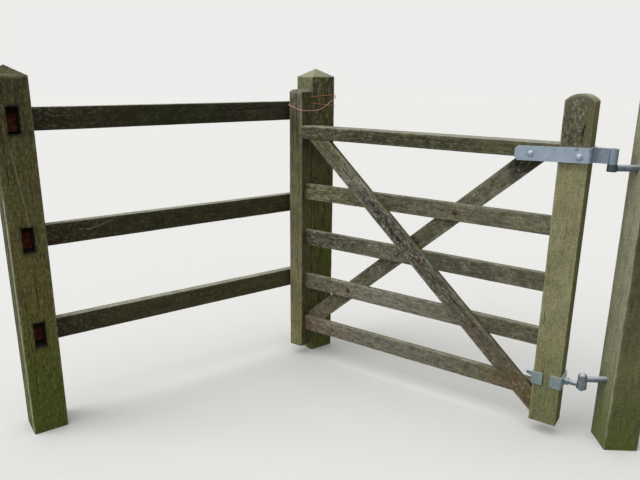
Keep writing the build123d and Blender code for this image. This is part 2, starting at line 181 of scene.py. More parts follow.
def graded(along, stops):
    """Linear colours along a member: one colour, or straight between the colours at the
    given places."""
    if isinstance(stops, str):
        stops = ((0, stops),)
    places, hexes = zip(*stops)
    colours = np.array([linear(colour)[:3] for colour in hexes])
    return np.stack([np.interp(along, places, colours[:, channel]) for channel in range(3)], -1)


def look(tones, more, arris=0.5):
    """A dress for timber(). Tones are the colours of each face, and more() gives the shares
    of the finish at each place. Faces are 0 to 3 round the member, 4 at its head and 5 at
    its foot, which has the colour of face 0. Arris is how pale the worn arrises are."""

    def dress(face, across, along):
        tone = graded(along, tones[0])
        for number, stops in tones.items():
            tone = np.where((face == number)[:, None], graded(along, stops), tone)
        shares = dict.fromkeys(("moss", "dark", "pale", "raw", "drips", "split"), 0.0)
        shares.update(more(face, across, along), arris=arris)
        return {"tone": tone} | {key: share + 0 * along for key, share in shares.items()}

    return dress


def drift(rng, along, across, along_cells, across_cells):
    """A smooth random field from -1 to 1 over shares of the length and of the way round:
    random values on a lattice, eased between its points by 3t^2 - 2t^3, and closed on
    itself round the outline."""
    lattice = rng.uniform(-1, 1, (along_cells + 2, across_cells))
    row, column = along * along_cells, across * across_cells
    low_row, low_column = row.astype(int), column.astype(int)
    ease_row, ease_column = row - low_row, column - low_column
    ease_row = (ease_row ** 2 * (3 - 2 * ease_row))[:, None]
    ease_column = ease_column ** 2 * (3 - 2 * ease_column)
    columns, following = low_column % across_cells, (low_column + 1) % across_cells
    low_values, high_values = (
        lattice[rows][:, columns] * (1 - ease_column) + lattice[rows][:, following] * ease_column
        for rows in (low_row, low_row + 1)
    )
    return low_values * (1 - ease_row) + high_values * ease_row


def timber_outline(wide, deep, arris, lines):
    """A rectangle with rounded arrises, followed round from face to face: -V, +U, +V, -U.
    Gives the points, their outward directions, each point's face, its place across that
    face, and its distance from the nearest arris. Lines are extra places on the -V face."""
    halves = (wide / 2, deep / 2, wide / 2, deep / 2)
    outward = np.array([(0, -1), (1, 0), (0, 1), (-1, 0)], float)
    running = np.array([(1, 0), (0, 1), (-1, 0), (0, -1)], float)
    turn = np.radians([22.5, 45.0, 67.5])[:, None]
    points, normals, faces, places, edges = [], [], [], [], []
    for face in range(4):
        half, stand = halves[face], halves[face - 1]
        flat = half - arris
        across = np.linspace(-flat, flat, max(4, int(2 * flat / OUTLINE_STEP)))
        if face == 0:
            across = np.unique(np.concatenate([across, lines]))
        swing = np.cos(turn) * outward[face] + np.sin(turn) * running[face]
        corner = flat * running[face] + (stand - arris) * outward[face] + arris * swing
        points += [across[:, None] * running[face] + stand * outward[face], corner]
        normals += [np.tile(outward[face], (len(across), 1)), swing]
        faces.append(np.full(len(across) + len(turn), face))
        places += [across, np.full(len(turn), half)]
        edges += [half - np.abs(across), np.zeros(len(turn))]
    return tuple(np.concatenate(part) for part in (points, normals, faces, places, edges))


def placed(name, data):
    """A new object with this data, in the scene."""
    made = bpy.data.objects.new(name, data)
    bpy.context.scene.collection.objects.link(made)
    return made


def skin(name, rings, poles, attributes):
    """A closed mesh from rings of points, each joined to the next by quads, and each end
    closed by a fan to its pole. The attributes have one value a point, poles last."""
    count, around = rings.shape[:2]
    index = np.arange(count * around).reshape(count, around)
    beside = np.roll(index, -1, axis=1)
    quads = np.stack([index[:-1], beside[:-1], beside[1:], index[1:]], -1).reshape(-1)
    low, high = count * around, count * around + 1
    bottom = np.stack([beside[0], index[0], np.full(around, low)], -1).reshape(-1)
    top = np.stack([index[-1], beside[-1], np.full(around, high)], -1).reshape(-1)
    corners = np.concatenate([quads, bottom, top])
    sizes = np.concatenate([np.full(len(quads) // 4, 4), np.full(2 * around, 3)])
    mesh = bpy.data.meshes.new(name)
    points = np.concatenate([rings.reshape(-1, 3), poles]) * MM
    mesh.vertices.add(len(points))
    mesh.vertices.foreach_set("co", points.astype(np.float32).ravel())
    mesh.loops.add(len(corners))
    mesh.loops.foreach_set("vertex_index", corners.astype(np.int32))
    mesh.polygons.add(len(sizes))
    mesh.polygons.foreach_set("loop_start", (np.cumsum(sizes) - sizes).astype(np.int32))
    mesh.update(calc_edges=True)
    mesh.shade_smooth()
    for key, values in attributes.items():
        kind, field = ("FLOAT_VECTOR", "vector") if values.ndim == 2 else ("FLOAT", "value")
        layer = mesh.attributes.new(key, kind, "POINT")
        layer.data.foreach_set(field, values.astype(np.float32).ravel())
    return placed(name, mesh)


def fitted(piece, body, slot_name, material):
    """Gives a finished piece its body and its material. Its slot name is not used."""
    piece.data.materials.append(material)
    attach(piece, body)
    return piece


# The timber's surface, all in millimetres. Its points are an outline step apart round the
# member and a row step along it, with closer rows at the ends. Ridges of grain, broad swells
# and chips out of the arrises are random fields with cells this long and wide. Real ridges
# are finer than a pixel, so they are drawn 5 mm apart.
OUTLINE_STEP = 2.0
ROW_STEP = 9.0
END_ROWS = (0.8, 2.0, 4.5)
RIDGE_CELLS = (140, 5)
RIDGE_DEPTH = 0.22
SWELL_CELLS = (230, 38)
SWELL_DEPTH = 0.4
CHIP_CELLS = (34, 26)
ARRIS_REACH = 5.5
END_GRAIN_DEPTH = 0.8
LEAST_DEPTH = 0.02
HOLLOW_RIM = 0.2
INSIDE_LATTICE = 0.9999


def with_splits(inward, splits, face, across, along, edge):
    """Adds splits to how far the surface goes in, and gives the painted shade inside them.
    A split is a V groove whose width goes with the sine of the way along it to the power of
    0.6, and whose middle wanders by two sines, of 2.5 and 1.2 mm. It stops at the arris."""
    shadow = np.zeros_like(inward)
    for side, middle, low, high, width, depth in splits:
        travel = ramp(along, low, high)
        taper = np.sin(np.pi * travel) ** 0.6
        wander = middle + 2.5 * np.sin(travel * 7.0 + middle) + 1.2 * np.sin(travel * 19.0)
        groove = np.clip(1 - np.abs(across - wander) / np.maximum(width * taper / 2, 0.01), 0, 1)
        groove = groove * (face == side) * (taper > 0.02) * (edge > 0.5)
        shadow = np.maximum(shadow, np.minimum(1.0, groove * 1.8))
        inward = inward + depth * groove * taper
    return inward, shadow


def with_knots(inward, knots, face, across, along):
    """Adds knots to how far the surface goes in, and tells how dark their rings are. A knot
    is a bell 0.9 mm deep, a third longer along the grain than across it, with a ring round
    it that stands 0.3 mm proud."""
    ring = np.zeros_like(inward)
    for side, middle, level, radius in knots:
        away = np.hypot(across - middle, (along - level) * 0.75) / radius
        mark = hump(away, 0.8, 0.22) * (face == side)
        ring = np.maximum(ring, mark)
        inward = inward + 0.9 * hump(away, 0, 0.7) * (face == side) - 0.3 * mark
    return inward, ring


def with_hollows(inward, hollows, face, across, along):
    """Sets the surface back to the floor of each hollow inside its rim, and gives the painted
    shade in the hollows."""
    hollow_shade = np.zeros_like(inward)
    for side, middle, level, width, height, depth in hollows:
        outside = np.maximum(np.abs(across - middle) - width / 2, np.abs(along - level) - height / 2)
        inward = np.where((outside < 0) & (face == side), depth, inward)
        hollow_shade = np.maximum(hollow_shade, 0.8 * ((outside < 1.5 * HOLLOW_RIM) & (face == side)))
    return inward, hollow_shade


def end_rings(rim, place, outwards, shares):
    """Rings that shrink from the rim to near the middle on the end's own surface, sunk a
    little by a sine of each point's number, as rough end grain is."""
    rings = []
    for share in shares:
        flat = rim[:, :2] * share
        sink = 0.5 + 0.5 * np.sin(np.arange(len(flat)) * 0.9 + share * 40)
        depth = END_GRAIN_DEPTH * sink * min(1.0, 5 * (1 - share))
        rings.append(np.column_stack([flat, place(*flat.T) - outwards * depth]))
    return np.array(rings)


def timber(node_name, stock, axes, origin, section, ends, seed, dress, splits=(), knots=(),
           hollows=(), arris=3.0, wear=1.8, cap_shares=(0.98, 0.8, 0.5, 0.2)):
    """A weathered member in the place of a CAD node: a rounded rectangle carried along a
    line. Each ring is the outline moved inwards by ridges and swells, by wear that grows
    towards the arrises as a bell, and by splits, knots and the hollows of mortises. The
    ends may slope or curve: each gives its place along the line for any point of the
    section. Stock is the body, the slot and the material. Splits are (face, middle, low,
    high, width, depth), knots (face, middle, level, radius), and hollows (face, middle,
    level, width, height, depth)."""
    rng = np.random.default_rng(seed)
    start, end = ends
    rims = [(side, gap) for side in (-1, 1) for gap in (-HOLLOW_RIM, HOLLOW_RIM)]
    lines = [middle + side * (width / 2 + gap)
             for _, middle, _, width, _, _ in hollows for side, gap in rims]
    points, normals, face, across, edge = timber_outline(*section, arris, lines)
    length = float(np.mean(end(*points.T) - start(*points.T)))
    cuts = [(level + side * (height / 2 + gap)) / length
            for _, _, level, _, height, _ in hollows for side, gap in rims]
    end_rows = np.array(END_ROWS) / length
    levels = np.linspace(0, 1, int(length / ROW_STEP))
    levels = np.unique(np.concatenate([levels, cuts, end_rows, 1 - end_rows]))
    steps = np.hypot(*(points - np.roll(points, 1, axis=0)).T)
    girth = steps.sum()
    long_share, round_share = levels * INSIDE_LATTICE, np.cumsum(steps) / girth * INSIDE_LATTICE
    ridge, swell, chips = (
        0.5 + 0.5 * drift(rng, long_share, round_share,
                          max(2, int(length / cell_length)), max(3, int(girth / cell_width)))
        for cell_length, cell_width in (RIDGE_CELLS, SWELL_CELLS, CHIP_CELLS)
    )
    nearness = hump(edge, 0, ARRIS_REACH)
    inward = RIDGE_DEPTH * ridge + SWELL_DEPTH * swell
    inward = inward + wear * nearness * (0.25 + 0.75 * chips * swell)
    low_end = start(*points.T)
    along = low_end + (end(*points.T) - low_end) * levels[:, None]
    inward, split = with_splits(inward, splits, face, across, along, edge)
    inward, ring = with_knots(inward, knots, face, across, along)
    inward, hollow_shade = with_hollows(np.maximum(inward, LEAST_DEPTH), hollows, face, across, along)
    body = np.concatenate([points - normals * inward[..., None], along[..., None]], -1)
    for row, place in ((0, start), (-1, end)):
        body[row, :, 2] = place(*body[row, :, :2].T)
    foot_cap = end_rings(body[0], start, -1, cap_shares)[::-1]
    head_cap = end_rings(body[-1], end, 1, cap_shares)
    rings = np.concatenate([foot_cap, body, head_cap])
    poles = np.array([[0, 0, float(place(0.0, 0.0))] for place in ends])
    foot = dress(np.full_like(face, 5), across, foot_cap[..., 2])
    head = dress(np.full_like(face, 4), across, head_cap[..., 2])
    marks = dress(face, across, along)
    # Knot rings are darker, and the mortise hollows and the splits get painted shade.
    marks["dark"] = marks["dark"] + 0.5 * ring + hollow_shade
    marks["pale"] = marks["pale"] + marks.pop("arris") * nearness * chips
    marks["split"] = split
    attributes = {}
    for key, values in marks.items():
        column = np.concatenate([foot[key], values, head[key]]).reshape(-1, *values.shape[2:])
        attributes[key] = np.concatenate([column, column[:1], column[-1:]])
    # The pattern's place is shifted by the seed, so that no two members have the same grain.
    shift = seed * np.array([131.0, 57.0, 211.0])
    attributes["timber_place"] = (np.concatenate([rings.reshape(-1, 3), poles]) + shift) * MM
    made = skin(f"{node_name}_timber", rings @ axes + origin, poles @ axes + origin, attributes)
    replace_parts(fitted(made, *stock), node_name)


def level_end(place):
    """A square end at one place along the member."""
    return lambda u, v: np.full(np.shape(u), float(place))


def post_top(u, v):
    """The weathered top: four slopes that rise from the eaves to a point."""
    farthest = np.maximum(np.abs(u), np.abs(v))
    return POST_EAVES + POST_RISE * (1 - np.minimum(farthest / (POST_SIZE / 2), 1))


# Rough sawn posts: damp and green, with broad blotches and saw marks 3.6 mm apart.
post_timber = weathered_softwood(
    "sawn_softwood_posts_green_with_algae", moss="#59651f", lichen="#a3a288", raw="#5a2a1e",
)


def post(node_name, axes, origin, seed, dress, splits, hollows=()):
    """One post: a square member from the ground to its weathered top."""
    timber(
        node_name, (POSTS, "post_timber", post_timber), axes, origin, (POST_SIZE, POST_SIZE),
        (level_end(0), post_top), seed, dress, splits, hollows=hollows,
        cap_shares=(0.985, 0.93, 0.85, 0.76, 0.66, 0.56, 0.46, 0.36, 0.26, 0.16, 0.07),
    )


def corner_more(face, across, along):
    """Moss at the foot, bleached lines along the eaves, down a long shake and down the
    left face's near edge, and painted shade in the mortises, darkening also round their rims."""
    eaves = (along > 1273) * (along < 1280) * (face < 4)
    left_edge = (face == 3) * ramp(across, 38, 46) * (along < 880)
    mortise_darkening = 0 * along
    # Painted shade inside each mortise, fading out a few millimetres round it.
    for middle in MORTISE_MIDDLES:
        beside = np.maximum(np.abs(across) - MORTISE_WIDTH / 2, 0)
        above = np.maximum(np.abs(along - middle) - MORTISE_HEIGHT / 2, 0)
        mortise_darkening = mortise_darkening + (face == 0) * hump(beside, 0, 5) * hump(above, 0, 11)
    shake = hump(across + (along - 1050) * 0.11, -20, 2.2)
    shake = shake * (face == 0) * (along < 1050) * (along > 760)
    return {"moss": 0.9 - 0.7 * ramp(along, 0, 420), "dark": 0.7 * mortise_darkening, "mottle": 0.75,
            "pale": 0.5 * eaves + 0.5 * shake + 0.7 * left_edge, "flecks": 0.3}


post(
    "corner_post", UPRIGHT, (CORNER_POST_X, 0, 0), 3,
    look({0: ((0, "#6b7433"), (250, "#6f7535"), (480, "#767040"), (800, "#736b47"),
              (1100, "#605a3b"), (1278, "#4f4b34")),
          1: ((0, "#5d6333"), (640, "#68664a"), (1278, "#615f45")),
          2: ((0, "#5d6333"), (640, "#6c6b50"), (1278, "#66644c")),
          # The left face's dark tones are painted shade.
          3: ((0, "#33371b"), (640, "#3d3c29"), (900, "#4a4833"), (1278, "#3f3c2a")),
          4: ((1278, "#8f8873"), (1281, "#57523f"), (1312, "#463f31"))}, corner_more),
    splits=((0, 8, 430, 680, 2.4, 5.0), (0, -32, 120, 560, 2.2, 4.0), (0, 34, 1085, 1278, 2.2, 5.0),
            (0, -38, 860, 1278, 2.0, 4.0), (0, 30, 500, 980, 2.0, 4.0),
            (3, 12, 500, 1278, 3.0, 7.0), (1, -8, 60, 300, 2.4, 6.0), (2, 4, 180, 1200, 3.0, 8.0)),
    hollows=[(0, 0, middle, MORTISE_WIDTH, MORTISE_HEIGHT, MORTISE_DEPTH)
             for middle in MORTISE_MIDDLES],
)

# Clapping post: the same sawn post, at the end of the side panel. The leaf rests against
# its near left arris. Its near face is streaked, and its left face catches the light.


def clapping_more(face, across, along):
    """Moss at the foot and in a band at knee height, bleached streaks high on the near
    face, and pale eaves."""
    near = face == 0
    eaves = (along > 1274) * (along < 1280) * (face < 4)
    knee = near * hump(along, 500, 110) * ramp(across, -20, 10)
    return {"moss": 0.7 - 0.5 * ramp(along, 0, 260) + 0.7 * knee, "pale": 0.6 * eaves,
            "mottle": 0.5 - 0.25 * (face == 4), "flecks": 0.3,
            "drips": (0.2 + 0.75 * ramp(along, 900, 1150)) * near}


post(
    "clapping_post", UPRIGHT, (0, 0, 0), 5,
    look({0: ((0, "#5b5839"), (480, "#64612f"), (800, "#5b5735"), (1100, "#494229"), (1278, "#4b452d")),
          1: ((0, "#55572f"), (640, "#5e5d3c"), (1278, "#5a583c")),
          2: ((0, "#5c5c39"), (640, "#67654b"), (1278, "#66644d")),
          3: ((0, "#5b583c"), (640, "#625f4b"), (1150, "#625f4b"), (1278, "#77755c")),
          4: ((1278, "#989a80"), (1312, "#a0a18a"))}, clapping_more),
    splits=((0, 10, 520, 900, 2.6, 5.0), (0, -20, 60, 520, 2.6, 5.0), (0, 34, 640, 1240, 2.4, 5.0),
            (3, 6, 780, 1278, 2.4, 6.0), (1, -6, 200, 1100, 3.0, 8.0), (2, 14, 100, 900, 2.6, 7.0)),
)

# Hanging post: the third sawn post, turned to face the corner post across the enclosure.
# Both hook bars go right through it.
LEAF_TURN = math.radians(-70.4)
LEAF_ALONG = np.array([math.cos(LEAF_TURN), math.sin(LEAF_TURN), 0])
LEAF_INWARD = np.array([-math.sin(LEAF_TURN), math.cos(LEAF_TURN), 0])
STOP_OVERLAP = 64.0
STOP_GAP = 7.0
LEAF_THICKNESS = 75.0
LEAF_WIDTH = 1220.0
PIN_BEYOND_LEAF = 65.0
HOOK_REACH = 83.0
LEAF_CORNER = (
    np.array([-POST_SIZE / 2, -POST_SIZE / 2, 0])
    - LEAF_ALONG * STOP_OVERLAP - LEAF_INWARD * (LEAF_THICKNESS + STOP_GAP)
)
PIN_POINT = LEAF_CORNER + LEAF_ALONG * (LEAF_WIDTH + PIN_BEYOND_LEAF) + LEAF_INWARD * LEAF_THICKNESS / 2
TO_CORNER = np.array([CORNER_POST_X, 0, 0]) - PIN_POINT
HOOK_DIRECTION = TO_CORNER / np.linalg.norm(TO_CORNER)
HOOK_BESIDE = np.array([-HOOK_DIRECTION[1], HOOK_DIRECTION[0], 0])
HANGING_POINT = PIN_POINT - HOOK_DIRECTION * (HOOK_REACH + POST_SIZE / 2)


def hanging_more(face, across, along):
    """Moss at the foot and a bleached line along the eaves."""
    foot = 1 - ramp(along, 0, 300)
    eaves = (along > 1274) * (along < 1280) * (face < 4)
    return {"moss": 0.1 + 0.5 * foot, "pale": 0.5 * eaves, "mottle": 0.18 + 0.2 * foot, "flecks": 0.2}


post(
    "hanging_post", np.array([HOOK_DIRECTION, HOOK_BESIDE, [0, 0, 1]]), HANGING_POINT, 8,
    look({0: ((0, "#5f6640"), (640, "#6d6b4f"), (1278, "#6b694e")),
          1: ((0, "#6b7353"), (440, "#8e8b75"), (740, "#94937d"), (1278, "#9c997e")),
          2: ((0, "#5b6640"), (300, "#71704f"), (500, "#67654a"), (900, "#59573b"), (1278, "#5f5d43")),
          3: ((0, "#5f6640"), (640, "#67664b"), (1278, "#65644a")),
          4: ((1278, "#8a8a72"), (1312, "#96967f"))}, hanging_more, arris=0.9),
    splits=((1, 14, 300, 980, 2.6, 7.0), (0, -18, 200, 1100, 2.6, 7.0), (2, 10, 600, 1278, 3.0, 7.0),
            (3, 4, 100, 860, 2.6, 7.0)),
)

# Side rails: three 80 x 36 mm sawn rails, mortised into the corner post and the clapping
# post and held by their own fit. Their near faces are nearly black with damp, and their
# upper edges are bleached. The tenons keep the red-brown colour of new timber.
RAIL_HEIGHT = 80.0
RAIL_THICKNESS = 36.0
RAIL_NEAR = 4.0
RAIL_LEFT = -1272.0
RAIL_RIGHT = 0.0
RAIL_UNDERSIDES = {"bottom": 329.0, "middle": 687.0, "top": 1095.0}
TENON_SHOWS = -1183
SIDEWAYS = np.array([[0, 0, 1], [0, -1, 0], [1, 0, 0]], float)
# Sawn rails: darker, with short blotches and saw marks 4.5 mm apart.
side_rail_timber = weathered_softwood(
    "sawn_softwood_rails_dark_with_damp", moss="#4b5230", lichen="#9a9a86", raw="#8a412c",
    fibre_share=0.24, saw=(4.5, 0.18), blotch_length=16.0,
)
RAIL_NEAR_TONES = {
    "bottom": ((-1166, "#453b2a"), (-780, "#4f4d34"), (-520, "#4f4b32"), (-100, "#5d573a")),
    "middle": ((-1166, "#433827"), (-780, "#383624"), (-520, "#3f3c28"), (-100, "#4a422d")),
    "top": ((-1166, "#3a3324"), (-780, "#302e1d"), (-520, "#2f2e1d"), (-100, "#413b2f")),
}


def rail_more(face, across, along):
    """Mottled towards the corner post, with a red-brown tenon inside it that has painted
    shadow along its top."""
    corner = 1 - ramp(along, -1160, -900)
    tenon = along < TENON_SHOWS
    # The dark on the tenon's top is painted shadow under the mortise's upper edge.
    return {"mottle": 0.35 + 0.6 * corner, "raw": 1.6 * tenon, "moss": 0.12 * (face == 2),
            "dark": 0.95 * tenon * ramp(-across, 10, 26), "flecks": 0.1 + 0.35 * corner}


def scratched_rail_more(face, across, along):
    """The same, with a long shallow scratch that crosses the grain, palest at its lower
    end."""
    travel = (along + 1028) / 96
    scratch = (face == 2) * (travel > 0) * (travel < 1) * hump(across + 23 * travel, -2, 2.4)
    return rail_more(face, across, along) | {"pale": scratch * (0.75 - 0.4 * travel)}


for order, (level_name, underside) in enumerate(RAIL_UNDERSIDES.items()):
    timber(
        f"side_rail_{level_name}", (POSTS, "side_rail_timber", side_rail_timber), SIDEWAYS,
        (0, RAIL_NEAR + RAIL_THICKNESS / 2, underside + RAIL_HEIGHT / 2), (RAIL_HEIGHT, RAIL_THICKNESS),
        (level_end(RAIL_LEFT), level_end(RAIL_RIGHT)), 11 + order,
        look({0: "#57523c", 1: "#9d9d8a", 2: RAIL_NEAR_TONES[level_name], 3: "#3a3727"},
             scratched_rail_more if level_name == "middle" else rail_more, arris=0.25),
        splits=((2, 6 - 9 * order, -900 + 200 * order, -350 + 150 * order, 2.2, 4.0),
                (0, 4, -800, -200, 2.2, 4.0)),
        knots=((2, 10 - 8 * order, -1030 + 280 * order, 13.0), (2, -14, -420 - 90 * order, 11.0)),
        arris=1.5, wear=1.5,
    )

# Closing stile: the planed stile at the leaf's free edge, with a low segmental top. It
# meets the clapping post, and the slack loop of twine goes round it.
LEAF = "gate_leaf"
LEAF_FOOT = 50.0
CLOSING_WIDTH = 68.0
CLOSING_SPRING = LEAF_FOOT + 1165.0
CLOSING_CROWN = 12.0
LEAF_UPRIGHT = np.array([LEAF_ALONG, LEAF_INWARD, [0, 0, 1]])
# Planed stiles: smooth and olive, with hardly a saw mark left.
stile_timber = weathered_softwood(
    "planed_softwood_stiles_weathered_olive", moss="#5f6433", lichen="#adab95", raw="#6f4a38",
    fibre_share=0.25, saw=(5.5, 0.05), blotch_length=17.0,
)


def leaf_place(along, inward, level):
    """A place given in the leaf's own axes, as a point of the whole gate."""
    return LEAF_CORNER + LEAF_ALONG * along + LEAF_INWARD * inward + np.array([0, 0, level])


def crowned_end(width, spring, crown):
    """A segmental top: the arc of a circle through both springings and the crown."""
    radius = (width ** 2 / 4 + crown ** 2) / (2 * crown)
    return lambda u, v: spring + crown - radius + np.sqrt(np.maximum(radius ** 2 - u ** 2, 0))


def stile(node_name, near_edge, width, spring, crown, seed, dress, splits, knots):
    """One stile: a member from the leaf's foot to its segmental top."""
    timber(
        node_name, (LEAF, "gate_timber", stile_timber), LEAF_UPRIGHT,
        leaf_place(near_edge + width / 2, LEAF_THICKNESS / 2, 0), (width, LEAF_THICKNESS),
        (level_end(LEAF_FOOT), crowned_end(width, spring, crown)), seed, dress, splits, knots,
        wear=1.6, cap_shares=(0.97, 0.88, 0.75, 0.6, 0.45, 0.3, 0.15),
    )


def closing_more(face, across, along):
    """A bleached line along the crown and down the top of the right arris, and a damp
    foot."""
    crown = (along > 1212) * (face < 4) * (face != 1)
    strip = (face == 0) * hump(across, 29, 5) * ramp(along, 1000, 1060) * (along < 1190)
    return {"pale": 0.5 * crown + 0.4 * strip, "moss": 0.12, "flecks": 0.3,
            "mottle": 0.3 + 0.3 * (along > 1120) + 0.2 * (along < 250)}


stile(
    "closing_stile", 0, CLOSING_WIDTH, CLOSING_SPRING, CLOSING_CROWN, 21,
    look({0: ((200, "#8b865e"), (490, "#867f64"), (780, "#726e52"), (1070, "#605a43"),
              (1215, "#6b6658")),
          1: ((200, "#4d472a"), (640, "#5d5732"), (1070, "#474028")),
          2: ((200, "#6b6749"), (1070, "#5f5b43")),
          3: ((200, "#7c7759"), (1070, "#716c54")),
          4: ((1215, "#7b7d75"), (1227, "#75786f"))}, closing_more, arris=0.35),
    splits=((0, 6, 985, 1250, 4.0, 9.0), (0, -14, 860, 1180, 2.0, 4.0), (0, 12, 300, 560, 2.0, 4.0),
            (0, 20, 760, 930, 2.4, 4.0), (3, 5, 500, 1200, 2.0, 5.0)),
    knots=((0, 8, 470, 9.0),),
)

# Hanging stile: the heavier heel of the leaf, with a higher segmental top. Above the strap
# it is brown and mottled round a knot, with a split. Below it the timber is lighter.
HANGING_WIDTH = 97.0
HANGING_SPRING = LEAF_FOOT + 1164.0
HANGING_CROWN = 24.0
HANGING_START = LEAF_WIDTH - HANGING_WIDTH


def heel_more(face, across, along):
    """Brown and mottled above the strap apart from an olive strip on the right, with a
    pale crown, painted shadow under the strap, faint stains round small knots, and a blotched foot."""
    near = (face == 0) * 1.0
    arch = 1 - (across / (HANGING_WIDTH / 2)) ** 2
    upper = ramp(along, 1055, 1085) * near * (along < 1190 + 30 * arch)
    brown = upper * (1 - ramp(across, 13, 28))
    crown = (along > 1209 + HANGING_CROWN * arch) * (face < 4)
    foot = 1 - ramp(along, 0, 330)
    # Painted shadow in a band just under the strap; the knots below add real stains.
    stain = near * hump(along, 1002, 9)
    for middle, level in ((15, 782), (-30, 596), (10, 300)):
        stain = stain + 0.6 * near * hump(across, middle, 15) * hump(along, level, 8)
    return {"mottle": 0.22 + 0.65 * brown + 0.45 * foot, "pale": 0.5 * crown,
            "dark": 0.45 * stain + 0.1 * brown, "moss": 0.05 + 0.3 * foot + 0.4 * (upper - brown),
            "flecks": 0.15 + (0.35 + 0.4 * ramp(along, 1120, 1180)) * brown}


stile(
    "hanging_stile", HANGING_START, HANGING_WIDTH, HANGING_SPRING, HANGING_CROWN, 26,
    look({0: ((100, "#7b7d5a"), (350, "#84835f"), (500, "#8b8968"), (1000, "#8f8d69"),
              (1050, "#6d6852"), (1100, "#67614f"), (1238, "#6e6a57")),
          1: ((100, "#5e6931"), (640, "#5f602f"), (1100, "#626031"), (1238, "#777547")),
          2: ((100, "#6f714c"), (1238, "#716e50")),
          3: ((100, "#7a7a58"), (1238, "#7b775c")),
          4: ((1213, "#9b9a80"), (1238, "#a8a68e"))}, heel_more, arris=0.4),
    splits=((0, 21, 1066, 1160, 4.4, 9.0), (0, -30, 420, 520, 1.4, 3.0), (0, -12, 120, 320, 1.6, 3.0),
            (1, 4, 300, 700, 2.4, 5.0)),
    knots=((0, -6, 1100, 19.0),),
)

# Top rail of the leaf: one 75 x 55 mm rail between the stiles, tenoned at both ends. Rain
# has bleached its upper face to a cream strip.
TOP_RAIL_UNDERSIDE = LEAF_FOOT + 972.0
TOP_RAIL_HEIGHT = 55.0
TOP_RAIL_TUCK = 3.0
LEAF_SIDEWAYS = np.array([[0, 0, 1], -LEAF_INWARD, LEAF_ALONG])
# Sawn top rail, bars and braces: the greyest timber, with long blotches and coarse fibres.
gate_timber = weathered_softwood(
    "sawn_softwood_gate_bars_weathered_grey", moss="#5f6433", lichen="#adab95", raw="#6f4a38",
    fibre_share=0.34, saw=(5.5, 0.14), blotch_length=24.0,
)
GATE_STOCK = (LEAF, "gate_timber", gate_timber)


def top_rail_more(face, across, along):
    """Mottled most towards the closing stile, a little green past the middle, and with
    painted shade along the lower edge."""
    # The dark along the near face's lower edge is painted shade.
    return {"mottle": 0.9 - 0.55 * ramp(along, 350, 800), "moss": 0.15 * (along > 500),
            "dark": 0.5 * (face == 2) * hump(across, 26, 3), "flecks": 0.4}


timber(
    "gate_top_rail", GATE_STOCK, LEAF_SIDEWAYS,
    leaf_place(0, LEAF_THICKNESS / 2, TOP_RAIL_UNDERSIDE + TOP_RAIL_HEIGHT / 2),
    (TOP_RAIL_HEIGHT, LEAF_THICKNESS),
    (level_end(CLOSING_WIDTH - TOP_RAIL_TUCK), level_end(HANGING_START + TOP_RAIL_TUCK)), 31,
    look({0: "#5d5a45", 1: ((100, "#858472"), (520, "#8f8e80"), (1100, "#a2a197")),
          2: ((200, "#57543e"), (460, "#4a4736"), (720, "#464636"), (990, "#53513c")), 3: "#45422f"},
         top_rail_more, arris=0.35),
    splits=((1, 8, 250, 900, 2.4, 5.0), (2, -6, 420, 800, 1.8, 3.0)),
    knots=((2, 4, 190, 11.0), (2, -6, 330, 9.0), (2, 2, 640, 12.0)), wear=1.6,
)

# Four thin bars, 70 x 22 mm, tenoned into both stiles. Each has a bleached upper edge, and
# is greyer where the rain reaches it.
BAR_HEIGHT = 70.0
BAR_THICKNESS = 22.0
BAR_SETBACK = 26.0
BAR_PITCH = 208.5
BAR_TUCK = 6.0
BOTTOM_BAR_UNDERSIDE = LEAF_FOOT + 79.0
BAR_NEAR_TONES = {
    "bottom": ((200, "#8a826f"), (460, "#7d7a6d"), (720, "#777566"), (980, "#736d55")),
    "lower": ((200, "#74705d"), (460, "#8c897b"), (720, "#807d6d"), (980, "#5c5947")),
    "middle": ((200, "#5a5649"), (460, "#6e6b5d"), (720, "#57564b"), (980, "#625e4f")),
    "upper": ((200, "#777559"), (460, "#595544"), (720, "#6e6a58"), (980, "#716f5b")),
}


def bar_more(face, across, along):
    """Mottled most next to the closing stile, flecked with lichen on the upper edge, and with
    painted shade along the lower edge."""
    left = 1 - ramp(along, 160, 520)
    # The dark along the near face's lower edge is painted shade.
    return {"mottle": 0.55 + 0.55 * left, "flecks": 0.5 + 0.5 * (face == 1) + 0.3 * left,
            "moss": 0.06, "dark": 0.5 * (face == 2) * hump(across, 33, 3)}


def bottom_bar_more(face, across, along):
    """The same, with a brick-red smear against the closing stile, and reddish ends."""
    ends = 1 - ramp(along, 130, 250) + ramp(along, 930, 1020)
    smear = hump(along, 88, 14) * hump(across, 3, 16)
    return bar_more(face, across, along) | {"raw": 0.3 * ends + 0.4 * smear}


for order, (level_name, near_tones) in enumerate(BAR_NEAR_TONES.items()):
    level = BOTTOM_BAR_UNDERSIDE + BAR_PITCH * order + BAR_HEIGHT / 2
    timber(
        f"gate_bar_{level_name}", GATE_STOCK, LEAF_SIDEWAYS,
        leaf_place(0, BAR_SETBACK + BAR_THICKNESS / 2, level), (BAR_HEIGHT, BAR_THICKNESS),
        (level_end(CLOSING_WIDTH - BAR_TUCK), level_end(HANGING_START + BAR_TUCK)), 41 + order,
        look({0: "#66634f", 1: "#84826f", 2: near_tones, 3: "#45422f"},
             bottom_bar_more if level_name == "bottom" else bar_more, arris=0.55),
        splits=((2, 10 - 6 * order, 250 + 110 * order, 620 + 90 * order, 1.6, 3.0),),
        knots=((2, -8 + 7 * order, 210 + 190 * order, 9.0), (2, 12, 930 - 150 * order, 8.0)),
        arris=1.5, wear=1.2,
    )

